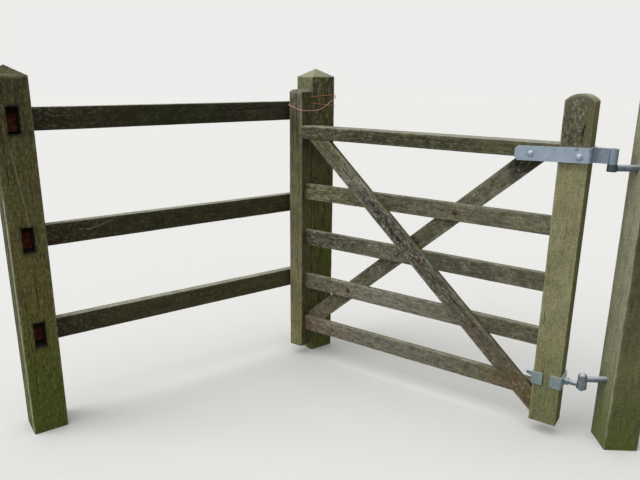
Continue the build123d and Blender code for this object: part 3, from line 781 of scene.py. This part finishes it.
# Two braces, 70 x 22 mm, one on each side of the bars. The near one runs from under the
# top rail down to the heel, the far one from the closing stile up to the top rail.
BRACE_WIDTH = 70.0
BRACE_THICKNESS = 22.0
NEAR_BRACE_FACE = BAR_SETBACK - BRACE_THICKNESS
BARS_BACK = BAR_SETBACK + BAR_THICKNESS


def brace(node_name, from_point, to_point, near_face, level_first, seed, dress, splits, knots):
    """A brace between the middles of its two ends, given along the leaf and up. One end is
    cut level under the top rail, and the other upright against a stile."""
    run = np.array(to_point, float) - np.array(from_point, float)
    run = run / np.hypot(*run)
    side = np.array([-run[1], run[0]])
    wide_axis, length_axis = (LEAF_ALONG * way[0] + np.array([0, 0, way[1]]) for way in (side, run))

    def cut(point, level):
        """An end through the point: the place along the brace goes back by the place across,
        times the side direction over the run direction, both up for a level cut."""
        offset = np.dot(np.array(point) - from_point, run)
        return lambda u, v: offset - side[int(level)] * u / run[int(level)]

    timber(
        node_name, GATE_STOCK, np.array([wide_axis, -LEAF_INWARD, length_axis]),
        leaf_place(from_point[0], near_face + BRACE_THICKNESS / 2, from_point[1]),
        (BRACE_WIDTH, BRACE_THICKNESS), (cut(from_point, level_first), cut(to_point, not level_first)),
        seed, dress, splits, knots, arris=1.0, wear=1.3,
    )


def near_brace_more(face, across, along):
    """Black and white speckles round the upper bolt and a black band below it, rust stains
    round the lower ones, a dark line along the grain, and red-brown patches near the heel."""
    near = (face == 2) * 1.0
    stain = (hump(along, 651, 36) + hump(along, 977, 36)) * hump(across, 2, 11)
    line = hump(across - 7 * np.sin(along / 210), -9, 3.5) * (along < 980)
    speckled = near * hump(along, 480, 260)
    middle = np.interp(along, (340, 490, 700), (-11, 8, 4))
    black = hump(across, middle, 9) * np.interp(along, (325, 365, 520, 640), (0, 1, 1, 0))
    beside_bolt = hump(along, 290, 45) * hump(across, 9, 14)
    dark = np.maximum(np.maximum(0.45 * line, 0.75 * black), 0.65 * beside_bolt)
    return {"mottle": 0.5 + 1.1 * speckled, "dark": near * dark,
            "raw": near * (0.45 * stain + 0.4 * ramp(along, 1130, 1250)),
            "flecks": 0.5 + 1.5 * speckled + 2.0 * near * beside_bolt}


def far_brace_more(face, across, along):
    """Nearly black at the top: painted shade under the strap and the rail."""
    # Painted shade at the top end, under the strap and the top rail.
    return {"mottle": 0.65, "flecks": 0.5, "dark": 0.8 * ramp(along + across * 0.6, 1178, 1218)}


brace(
    "near_brace", (CLOSING_WIDTH + 84.0, TOP_RAIL_UNDERSIDE), (HANGING_START, LEAF_FOOT + 76.0),
    NEAR_BRACE_FACE, True, 51,
    look({0: "#6a6752", 1: ((0, "#636644"), (660, "#636644"), (1280, "#5d5c3a")),
          2: ((0, "#656549"), (140, "#6d6c55"), (270, "#817f73"), (430, "#5f5e54"), (660, "#5e5c51"),
              (990, "#655f53"), (1318, "#5f5c41")),
          3: "#4a4733", 4: "#5a5746"}, near_brace_more, arris=0.6),
    splits=((2, 8, 300, 780, 1.6, 3.0), (2, -12, 760, 1150, 1.6, 3.0)),
    knots=((2, -6, 220, 9.0), (2, 10, 640, 10.0), (2, -4, 1040, 9.0)),
)
brace(
    "far_brace", (CLOSING_WIDTH, LEAF_FOOT + 112.0), (HANGING_START - 90.0, TOP_RAIL_UNDERSIDE),
    BARS_BACK, False, 57,
    look({0: "#66624f", 1: "#8b8a76",
          2: ((0, "#756d55"), (460, "#625e4e"), (800, "#62614d"), (1290, "#747360")),
          3: "#4c4d3a", 4: "#4a4636"}, far_brace_more, arris=0.45),
    splits=((2, -6, 900, 1200, 1.6, 3.0),), knots=((2, 6, 980, 9.0), (2, -8, 420, 9.0)),
)

# Brace bolts: small domed coach bolts that clamp each brace to the bars, with a washer and
# a nut behind. Some still have their zinc, and the rest have rusted brown.
BOLT_HEAD = 21.0
BOLT_DOME = 5.0
BOLT_EDGE = 0.6
BOLT_NUT = 17.0
BOLT_NUT_HEIGHT = 8.0
BOLT_NUT_CHAMFER = 0.8
BOLT_WASHER = 26.0
BOLT_WASHER_THICKNESS = 1.6
BOLT_SHANK = 10.0
BOLT_TAIL = 13.5
NEAR_BRACE_BOLTS = ((394, 791, False), (636, 582, True), (878, 365, True))
FAR_BRACE_BOLTS = ((765, 790, True), (528, 580, False), (299, 373, True))


def rusty_steel(name, bright, brown, share):
    """Zinc-plated steel that rusts. The eye gets dull grey zinc broken by brown scabs about
    7 mm wide, with both duller than new steel. Real rust pits are about 0.3 mm, too fine to
    show, so they are drawn 1.5 mm wide."""
    material, tree = new_material(name)
    place = node(tree, "TexCoord").outputs["Object"]
    scab, pits = (
        node(tree, "TexNoise", {"Vector": place, "Scale": 1 / (size * MM), "Detail": detail})
        for size, detail in ((7, 5.0), (1.5, 3.0))
    )
    cover = node(tree, "MapRange", {0: scab, 1: 0.62 - share, 2: 0.72 - share})
    rust = node(tree, "Mix", {0: pits, 6: linear(brown), 7: linear("#3b2417")}, data_type="RGBA")
    surface(tree, {
        "Base Color": node(tree, "Mix", {0: cover, 6: linear(bright), 7: rust}, data_type="RGBA"),
        "Metallic": node(tree, "MapRange", {0: cover, 3: 0.7, 4: 0.1}),
        "Roughness": node(tree, "MapRange", {0: cover, 3: 0.45, 4: 0.9}),
        "Normal": node(tree, "Bump", {"Height": pits, "Strength": 0.4, "Distance": 0.5 * MM}),
    })
    return material


def spokes(sides, beside, above):
    """Angles an even turn apart and the directions there: the cosine of the angle along one
    direction and its sine along the other."""
    angles = np.arange(sides) / sides * 2 * np.pi
    return angles, np.cos(angles)[:, None] * beside + np.sin(angles)[:, None] * above


def lathe(name, profile, point, axis, sides):
    """A turned or hexagonal solid: a profile of distances from the axis and places along
    it, carried round the axis. With 6 sides the distances are to the hexagon's corners."""
    axis = np.asarray(axis, float) / np.linalg.norm(axis)
    beside = np.cross([0, 0, 1.0], axis)
    beside = beside / np.linalg.norm(beside)
    _, directions = spokes(sides, beside, np.cross(axis, beside))
    reach, place = np.array(profile, float).T
    rings = reach[:, None, None] * directions + (place[:, None] * axis)[:, None, :] + point
    poles = np.array([point + axis * place[0], point + axis * place[-1]])
    return skin(name, rings, poles, {})


def dome_profile(diameter, height, steps=9):
    """A cap of a sphere on a short upright edge, from the rim to near the middle: its height
    is that of a circle through the rim and the crown."""
    radius = diameter / 2
    ball = (radius ** 2 + height ** 2) / (2 * height)
    reach = radius * np.cos(np.linspace(0, np.pi / 2, steps))[:-1]
    rise = height - ball + np.sqrt(ball ** 2 - reach ** 2)
    dome = zip(reach, rise + BOLT_EDGE)
    return [(radius * 0.2, 0.0), (radius, 0.0), *dome, (0.3, height + BOLT_EDGE)]


zinc_bolt = rusty_steel("zinc_plated_coach_bolt_dull", "#5a5a54", "#4a382c", 0.1)
rusted_bolt = rusty_steel("zinc_plated_coach_bolt_rusted", "#6b5e50", "#5f3d2a", 0.26)


def brace_bolt(name, along, level, head_face, nut_face, rusted):
    """One bolt with its head on the near side, and its washer and nut on the far side, made
    as four turned parts that are joined to one piece."""
    head_point = leaf_place(along, head_face, level)
    nut_point = leaf_place(along, nut_face, level)
    shank, washer, thick = BOLT_SHANK / 2, BOLT_WASHER / 2, BOLT_WASHER_THICKNESS
    corner = BOLT_NUT / 2 / math.cos(math.pi / 6)
    top = thick + BOLT_NUT_HEIGHT
    nut_profile = [(0.5, thick), (corner * 0.93, thick), (corner, thick + BOLT_NUT_CHAMFER),
                   (corner, top - BOLT_NUT_CHAMFER), (corner * 0.93, top), (shank, top)]
    tail_profile = [(shank * 0.5, 1.0), (shank, 1.0), (shank, BOLT_TAIL - 1.5),
                    (shank * 0.75, BOLT_TAIL)]
    washer_profile = [(shank, 0), (washer, 0), (washer, thick), (shank, thick)]
    parts = [lathe(f"{name}_head", dome_profile(BOLT_HEAD, BOLT_DOME), head_point, -LEAF_INWARD, 32)]
    parts += [
        lathe(f"{name}_{part_name}", profile, nut_point, LEAF_INWARD, sides)
        for part_name, profile, sides in (
            ("washer", washer_profile, 32), ("nut", nut_profile, 6), ("tail", tail_profile, 20),
        )
    ]
    parts[2].data.shade_flat()
    bpy.ops.object.select_all(action="DESELECT")
    for piece in parts:
        piece.select_set(True)
    bpy.context.view_layer.objects.active = parts[0]
    bpy.ops.object.join()
    parts[0].name = name
    fitted(parts[0], LEAF, "galvanised_steel", rusted_bolt if rusted else zinc_bolt)


FAR_BRACE_BACK = BARS_BACK + BRACE_THICKNESS
for order, (along, level, rusted) in enumerate(NEAR_BRACE_BOLTS):
    behind = FAR_BRACE_BACK if order == 1 else BARS_BACK
    brace_bolt(f"near_brace_bolt_{order + 1}", along, level, NEAR_BRACE_FACE, behind, rusted)
for order, (along, level, rusted) in enumerate(FAR_BRACE_BOLTS):
    brace_bolt(f"far_brace_bolt_{order + 1}", along, level, BAR_SETBACK, FAR_BRACE_BACK, rusted)

# Hinge ironwork: strap, hooks, band, eye bolt, nuts and washers, all hot-dip galvanised
# steel. The zinc has gone dull, with a faint spangle, streaks and white bloom.


def galvanised(name, zinc, shadow, bloom, darkening_past_bend=0.0, boss=0.0):
    """Hot-dip galvanised steel, dipped after forging. The eye gets a blue-grey sheen with
    a spangle of crystals about 9 mm wide, cloudy patches 28 mm wide, small dark stains, and
    dust with a painted highlight on what faces up. Darkening past the bend is the share of a
    darker colour past the hanging stile, and boss the share of painted shadow and dirt within
    22 mm of the pin. The grain of real dull zinc is too fine to show, so it is drawn 2.5 mm wide."""
    material, tree = new_material(name)
    place = node(tree, "TexCoord").outputs["Object"]
    facing = node(tree, "NewGeometry").outputs["Normal"]
    spangle = node(tree, "TexVoronoi", {"Vector": place, "Scale": 1 / (9 * MM), "Randomness": 1.0})
    crystal = node(tree, "SeparateColor", {0: spangle.outputs["Color"]})
    cloud = node(
        tree, "TexNoise", {"Vector": place, "Scale": 1 / (28 * MM), "Detail": 5.0, "Roughness": 0.6}
    )
    grain = node(tree, "TexNoise", {"Vector": place, "Scale": 1 / (2.5 * MM), "Detail": 4.0})
    stain = node(tree, "Math", {0: cloud, 1: crystal}, operation="MULTIPLY")
    level_place = node(tree, "VectorMath", {0: place, 1: (1, 1, 0)}, operation="MULTIPLY")
    along, pin_distance, upward = (
        node(tree, "VectorMath", {0: first, 1: list(second)}, operation=measure)
        for first, second, measure in (
            (place, LEAF_ALONG / MM, "DOT_PRODUCT"),
            (level_place, PIN_POINT * MM, "DISTANCE"),
            (facing, (0, 0, 1), "DOT_PRODUCT"),
        )
    )
    bend = float(LEAF_ALONG @ LEAF_CORNER) + LEAF_WIDTH

    # Layer on layer, each from nothing at the low level to its share at the high one.
    colour = linear(zinc)
    for field, low, high, share, tint in (
        (crystal, 0.0, 1.0, 0.35, shadow),
        (cloud, 0.4, 0.66, 0.65, bloom),
        (grain, 0.5, 0.72, 0.55, shadow),
        # Darker past the strap's bend.
        (along, bend - 2, bend + 5, darkening_past_bend, "#3f4a54"),
        # Round the pin: painted shadow under the strap's barrel, with dirt.
        (pin_distance, 22 * MM, 17 * MM, boss, "#23282b"),
        (stain, 0.52, 0.6, 0.6, "#4b5156"),
        # Pale dust and a painted highlight on what faces up.
        (upward, 0.35, 0.9, 0.85, "#d5dde4"),
    ):
        cover = node(tree, "MapRange", {0: field, 1: low, 2: high, 4: share})
        colour = node(tree, "Mix", {0: cover, 6: colour, 7: linear(tint)}, data_type="RGBA")
    surface(tree, {
        "Base Color": colour, "Metallic": 0.55,
        "Roughness": node(tree, "MapRange", {0: cloud, 1: 0.35, 2: 0.65, 3: 0.42, 4: 0.66}),
        "Normal": node(tree, "Bump", {"Height": grain, "Strength": 0.25, "Distance": 0.4 * MM}),
    })
    return material


bright_zinc = galvanised("hot_dip_galvanised_strap", "#91a0b0", "#788594", "#a7b2bd", 0.3)
dull_zinc = galvanised("hot_dip_galvanised_hooks_dull", "#6e7880", "#4c555d", "#889096")
# The top hook is darkened round the pin with painted shadow and dirt.
shaded_grimy_zinc = galvanised("hot_dip_galvanised_top_hook_grimy_and_shaded", "#6b757e", "#454e56", "#868e95", boss=0.7)
band_zinc = galvanised("hot_dip_galvanised_band_and_its_nuts", "#7e9090", "#637373", "#97a7a7")
for node_name, finish in (
    ("top_strap_hinge", bright_zinc), ("strap_bolts", bright_zinc), ("strap_nuts", bright_zinc),
    ("top_hook", shaded_grimy_zinc), ("bottom_hook", dull_zinc), ("hook_washers", dull_zinc),
    ("hook_nuts", dull_zinc), ("bottom_band", band_zinc), ("bottom_eye_bolt", dull_zinc),
    ("bottom_eye_nuts", band_zinc),
):
    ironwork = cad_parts[node_name]
    ironwork.data.materials.clear()
    ironwork.data.materials.append(finish)

# Screw threads on the ends of the hook bars, the strap's bolts and the eye bolt. Each is a
# rolled thread on the last stretch of its rod.
STRAP_THICKNESS = 6.0
STRAP_NUT_HEIGHT = 8.0
STRAP_BOLT_PLACES = (1034.0, 1191.0)
STRAP_BOLT_LEVEL = 1036.0
STRAP_BOLT_DIAMETER = 10.0
STRAP_THREAD_LENGTH = 2.6
HOOK_LEVELS = {"top": 1006.2, "bottom": 247.8}
HOOK_WASHER_THICKNESS = 4.0
HOOK_NUT_HEIGHT = 18.0
HOOK_BAR_DIAMETER = 22.0
HOOK_THREAD_LENGTH = 29.0
BAND_MIDDLE = 223.5
EYE_BOLT_DIAMETER = 18.0
EYE_THREAD_START = HANGING_START - 19.0
EYE_THREAD_LENGTH = 11.0
COARSE_PITCH = 2.5
FINE_PITCH = 1.5
THREAD_CLEARANCE = 0.1
THREAD_TOOTH = 0.55
THREAD_ROWS = 8


def thread(name, start, axis, length, diameter, pitch, body):
    """A rolled thread: a tube whose distance from the axis rises and falls by one tooth
    with the share of a turn that the angle and the way along add up to, and fades out over
    the last pitch."""
    axis = np.asarray(axis, float)
    beside = np.cross([0, 0, 1.0], axis)
    angles, directions = spokes(28, beside, np.cross(axis, beside))
    steps = np.linspace(0, length, int(length / pitch * THREAD_ROWS))[:, None]
    tooth = np.abs((steps / pitch - angles / (2 * np.pi)) % 1.0 - 0.5) * 2
    reach = diameter / 2 + THREAD_CLEARANCE
    reach = reach + THREAD_TOOTH * tooth * np.clip((length - steps) / pitch, 0, 1)
    rings = reach[..., None] * directions + (steps * axis)[:, None, :] + start
    made = skin(name, rings, np.array([start, start + axis * length]), {})
    fitted(made, body, "galvanised_steel", dull_zinc)


HOOK_TAIL = HOOK_REACH + POST_SIZE + HOOK_WASHER_THICKNESS + HOOK_NUT_HEIGHT
for hook_name, level in HOOK_LEVELS.items():
    inside_nut = PIN_POINT - HOOK_DIRECTION * (HOOK_TAIL - 1) + np.array([0, 0, level])
    thread(
        f"{hook_name}_hook_thread", inside_nut, -HOOK_DIRECTION, HOOK_THREAD_LENGTH,
        HOOK_BAR_DIAMETER, COARSE_PITCH, POSTS,
    )
thread(
    "bottom_eye_bolt_thread", leaf_place(EYE_THREAD_START, LEAF_THICKNESS / 2, BAND_MIDDLE),
    -LEAF_ALONG, EYE_THREAD_LENGTH, EYE_BOLT_DIAMETER, COARSE_PITCH, LEAF,
)
for order, along in enumerate(STRAP_BOLT_PLACES):
    past_nut = leaf_place(
        along, LEAF_THICKNESS + STRAP_THICKNESS + STRAP_NUT_HEIGHT + 0.2, STRAP_BOLT_LEVEL
    )
    thread(
        f"strap_bolt_thread_{order + 1}", past_nut, LEAF_INWARD, STRAP_THREAD_LENGTH,
        STRAP_BOLT_DIAMETER, FINE_PITCH, LEAF,
    )

# Baler twine, 3 mm orange polypropylene that has faded to salmon. Two turns are pulled
# tight round the clapping post, and a slack loop goes over the closing stile.
TWINE = 3.0
TWINE_STEP = 1.6
TWINE_LAY = 17.0
TWINE_GAP = 0.3
TWINE_REACH = POST_SIZE / 2 + TWINE / 2 + TWINE_GAP
LOOP_REACH = TWINE_REACH + TWINE + TWINE_GAP


def twine_material(name, orange, bleached):
    """Split-film polypropylene twine. The eye gets a satin orange with fibrils that twist
    round it, bleached to salmon in patches 16 mm long on the outside, and dirty in the lay."""
    material, tree = new_material(name)
    lay = node(tree, "Attribute", attribute_name="lay").outputs["Fac"]
    place = node(tree, "TexCoord").outputs["Object"]
    bleach = node(tree, "TexNoise", {"Vector": place, "Scale": 1 / (16 * MM), "Detail": 4.0})
    patches = node(tree, "MapRange", {0: bleach, 1: 0.35, 2: 0.65})
    film = node(tree, "Mix", {0: patches, 6: linear(orange), 7: linear(bleached)}, data_type="RGBA")
    surface(tree, {
        "Base Color": node(tree, "Mix", {0: lay, 6: linear("#a65036"), 7: film}, data_type="RGBA"),
        "Roughness": node(tree, "MapRange", {0: patches, 3: 0.45, 4: 0.62}),
        "Normal": node(tree, "Bump", {"Height": lay, "Strength": 0.4, "Distance": 0.3 * MM}),
    })
    return material


tight_twine = twine_material("faded_orange_baler_twine", "#dd7347", "#eba783")
loop_twine = twine_material("bleached_salmon_baler_twine", "#f6b698", "#fff1e6")


def travelled(line):
    """The way gone at each point of a line: the sum of the steps before it."""
    return np.concatenate([[0], np.cumsum(np.linalg.norm(np.diff(line, axis=0), axis=1))])


def spline_line(name, points):
    """The route's NURBS spline as points an even step apart, and its length: a curve of
    order 3 that starts and ends at its end points, read back as a line."""
    curve = bpy.data.curves.new(name, "CURVE")
    curve.dimensions = "3D"
    curve.resolution_u = 16
    spline = curve.splines.new("NURBS")
    spline.points.add(len(points) - 1)
    weighted = np.column_stack([np.array(points, float) * MM, np.ones(len(points))])
    spline.points.foreach_set("co", weighted.ravel())
    spline.order_u = 3
    spline.use_endpoint_u = True
    carrier = placed(name, curve)
    bpy.context.view_layer.update()
    mesh = bpy.data.meshes.new_from_object(carrier)
    line = np.zeros(len(mesh.vertices) * 3, np.float32)
    mesh.vertices.foreach_get("co", line)
    bpy.data.objects.remove(carrier)
    bpy.data.curves.remove(curve)
    bpy.data.meshes.remove(mesh)
    line = line.reshape(-1, 3).astype(float) / MM
    lengths = travelled(line)
    marks = np.linspace(0, lengths[-1], max(8, int(lengths[-1] / TWINE_STEP)))
    return np.stack([np.interp(marks, lengths, line[:, axis]) for axis in range(3)], -1), lengths[-1]


def twisted_tube(name, line, diameter, finish, lobes=3, sides=12):
    """Twine as a tube whose section has a few lobes that turn once in each lay: its reach
    goes with the cosine of the angle less the turn so far, times the lobes. The frame that
    carries the section is the tangent with a fixed direction crossed into it."""
    tangent = np.gradient(line, axis=0)
    tangent = tangent / np.linalg.norm(tangent, axis=1)[:, None]
    beside = np.cross([0.13, 0.21, 1.0], tangent)
    beside = beside / np.linalg.norm(beside, axis=1)[:, None]
    above = np.cross(tangent, beside)
    angles, directions = spokes(sides, beside[:, None], above[:, None])
    lay = 0.5 + 0.5 * np.cos(lobes * (angles - travelled(line)[:, None] / TWINE_LAY * 2 * np.pi))
    reach = diameter / 2 * (0.92 + 0.16 * lay)
    shade = np.concatenate([lay.reshape(-1), [0.5, 0.5]])
    made = skin(name, reach[..., None] * directions + line[:, None], line[[0, -1]], {"lay": shade})
    return fitted(made, POSTS, "baler_twine", finish)


def past_corners(reach, near, out, turns):
    """Points of a route past corners of the post, each given by its sides in X and Y and
    three levels: one on the face before it, the corner itself, a little further out so that
    the spline clears the arris, and one on the face after it."""
    points = []
    for x, y, before, at, after in turns:
        faces = [(near * x, reach * y), (reach * x, near * y)]
        first, last = faces if x * y < 0 else faces[::-1]
        points += [(*first, before), ((reach + out) * x, (reach + out) * y, at), (*last, after)]
    return points


TURN_POINTS = [
    (6, TWINE_REACH, 1206),
    *past_corners(TWINE_REACH, 42, 1.5, (
        (-1, 1, 1202, 1201, 1200), (-1, -1, 1196, 1195, 1196),
        (1, -1, 1202, 1203, 1203), (1, 1, 1200, 1200, 1199),
        (-1, 1, 1192, 1191, 1187), (-1, -1, 1171, 1167, 1165),
        (1, -1, 1156, 1154, 1154), (1, 1, 1158, 1158, 1160),
    )),
    (8, TWINE_REACH, 1166),
]
turn_line, turn_length = spline_line("twine_turns_route", TURN_POINTS)
twine_turns = twisted_tube("twine_turns_strand", turn_line, TWINE, tight_twine)
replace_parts(twine_turns, "twine_turns")

STILE_CLEAR = TWINE / 2 + TWINE_GAP


def stile_point(along, inward, level):
    """A point of the route round the closing stile, in the leaf's own axes."""
    return tuple(leaf_place(along, inward, level))


LOOP_POINTS = [
    (-LOOP_REACH, 22, 1200),
    stile_point(-STILE_CLEAR - 1, LEAF_THICKNESS + STILE_CLEAR + 1, 1190),
    stile_point(-STILE_CLEAR, LEAF_THICKNESS - 18, 1184),
    stile_point(-STILE_CLEAR, 18, 1168),
    stile_point(-STILE_CLEAR - 1.2, -STILE_CLEAR - 1.2, 1161),
    stile_point(18, -STILE_CLEAR, 1154),
    stile_point(CLOSING_WIDTH - 18, -STILE_CLEAR, 1145),
    stile_point(CLOSING_WIDTH + STILE_CLEAR + 1, -STILE_CLEAR - 1, 1139),
    (-82, -LOOP_REACH - 15, 1138),
    (-30, -LOOP_REACH - 3, 1137),
    (10, -LOOP_REACH, 1156),
    *past_corners(LOOP_REACH, 44, 2.0, ((1, -1, 1179, 1194, 1197), (1, 1, 1210, 1213, 1213))),
    (-44, LOOP_REACH, 1210),
    (-LOOP_REACH - 2, LOOP_REACH + 2, 1210),
    (-LOOP_REACH, 34, 1206),
]
loop_line, loop_length = spline_line("twine_loop_route", LOOP_POINTS)
twine_loop = twisted_tube("twine_loop_strand", loop_line, TWINE, loop_twine)
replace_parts(twine_loop, "twine_loop")


def knot_piece(name, centre, outward, size, finish):
    """A trefoil laid against the face it rests on, as one closed strand: across it goes as
    sin t + 2 sin 2t, up it as cos t - 2 cos 2t, and out of it as minus sin 3t."""
    t = np.linspace(0, 2 * np.pi, 150)[:-1, None]
    outward = np.asarray(outward, float)
    beside = np.cross([0, 0, 1.0], outward)
    across = (np.sin(t) + 2 * np.sin(2 * t)) * size
    up = (np.cos(t) - 2 * np.cos(2 * t)) * size
    out = -np.sin(3 * t) * TWINE * 0.55
    line = np.asarray(centre, float) + across * beside + up * [0, 0, 1.0] + out * outward
    return twisted_tube(name, line, TWINE * 0.95, finish)


turns_knot = knot_piece("twine_turns_knot", (7, TWINE_REACH + 3.4, 1186), (0, 1, 0), 3.0, tight_twine)
loop_knot = knot_piece("twine_loop_knot", (-LOOP_REACH - 3.2, 28, 1203), (-1, 0, 0), 2.4, loop_twine)

# The floor, the light and the view. The floor is plain and pale, the light is a soft
# overcast from above and the left, and the camera is where the photograph was taken.
VIEW_FOCAL_PIXELS = 599.78
VIEW_HEADING = math.radians(35.989)
VIEW_DOWN = math.radians(15.558)
VIEW_ROLL = math.radians(0.531)
VIEW_POINT = Vector((-1.5939, -2.2379, 1.2941))
VIEW_WIDTH_PIXELS = 640
SENSOR_WIDTH = 36.0
FLOOR_HALF = 30.0

forward = Vector((
    math.sin(VIEW_HEADING) * math.cos(VIEW_DOWN),
    math.cos(VIEW_HEADING) * math.cos(VIEW_DOWN),
    -math.sin(VIEW_DOWN),
))
level_right = Vector((math.cos(VIEW_HEADING), -math.sin(VIEW_HEADING), 0))
level_up = level_right.cross(forward)
right = level_right * math.cos(VIEW_ROLL) + level_up * math.sin(VIEW_ROLL)
up = level_up * math.cos(VIEW_ROLL) - level_right * math.sin(VIEW_ROLL)
camera_data = bpy.data.cameras.new("view")
camera_data.sensor_width = SENSOR_WIDTH
camera_data.lens = VIEW_FOCAL_PIXELS / VIEW_WIDTH_PIXELS * SENSOR_WIDTH
camera = placed("view", camera_data)
turned = Matrix((right, up, -forward)).transposed().to_4x4()
camera.matrix_world = Matrix.Translation(VIEW_POINT) @ turned
bpy.context.scene.camera = camera


def shown_rays(tree):
    """1 for the rays that show the background, which come from the camera or through gloss
    or clear material, and 0 for the rest."""
    rays = node(tree, "LightPath").outputs
    share = rays["Is Camera Ray"]
    for kind in ("Is Glossy Ray", "Is Transmission Ray"):
        share = node(tree, "Math", {0: share, 1: rays[kind]}, operation="MAXIMUM")
    return share


floor_mesh = bpy.data.meshes.new("floor")
floor_mesh.from_pydata(
    [(x * FLOOR_HALF, y * FLOOR_HALF, 0) for x, y in ((-1, -1), (1, -1), (1, 1), (-1, 1))],
    [], [(0, 1, 2, 3)],
)
floor = placed("floor", floor_mesh)
# Matt floor paint: pale to the eye, and darker for the light that it throws back, so that
# the gate isn't lit from below.
floor_paint, paint_tree = new_material("matt_pale_floor")
floor_colour = node(
    paint_tree, "Mix", {0: shown_rays(paint_tree), 6: linear("#5c5a52"), 7: linear("#e4e4e3")},
    data_type="RGBA",
)
surface(paint_tree, {"Base Color": floor_colour, "Roughness": 0.95})
floor_mesh.materials.append(floor_paint)

world = bpy.data.worlds.new("overcast")
bpy.context.scene.world = world
world.use_nodes = True
sky = world.node_tree
sky.nodes.clear()
soft = node(sky, "Background", {"Color": linear("#f3f2ef"), "Strength": 0.55})
plain = node(sky, "Background", {"Color": linear("#f2f2f0"), "Strength": 0.95})
mixed = node(sky, "MixShader", {0: shown_rays(sky), 1: soft, 2: plain})
node(sky, "OutputWorld", {"Surface": mixed})

for lamp_name, direction, strength, spread_degrees in (
    ("sky_above", (-0.2, 0.05, 1.0), 1.1, 60.0),
    ("open_side", (-1.0, 0.35, 0.6), 1.5, 50.0),
):
    lamp = bpy.data.lights.new(lamp_name, "SUN")
    lamp.energy = strength
    lamp.angle = math.radians(spread_degrees)
    carrier = placed(lamp_name, lamp)
    carrier.rotation_mode = "QUATERNION"
    carrier.rotation_quaternion = Vector(direction).to_track_quat("Z", "Y")

bpy.context.scene.view_settings.view_transform = "Standard"
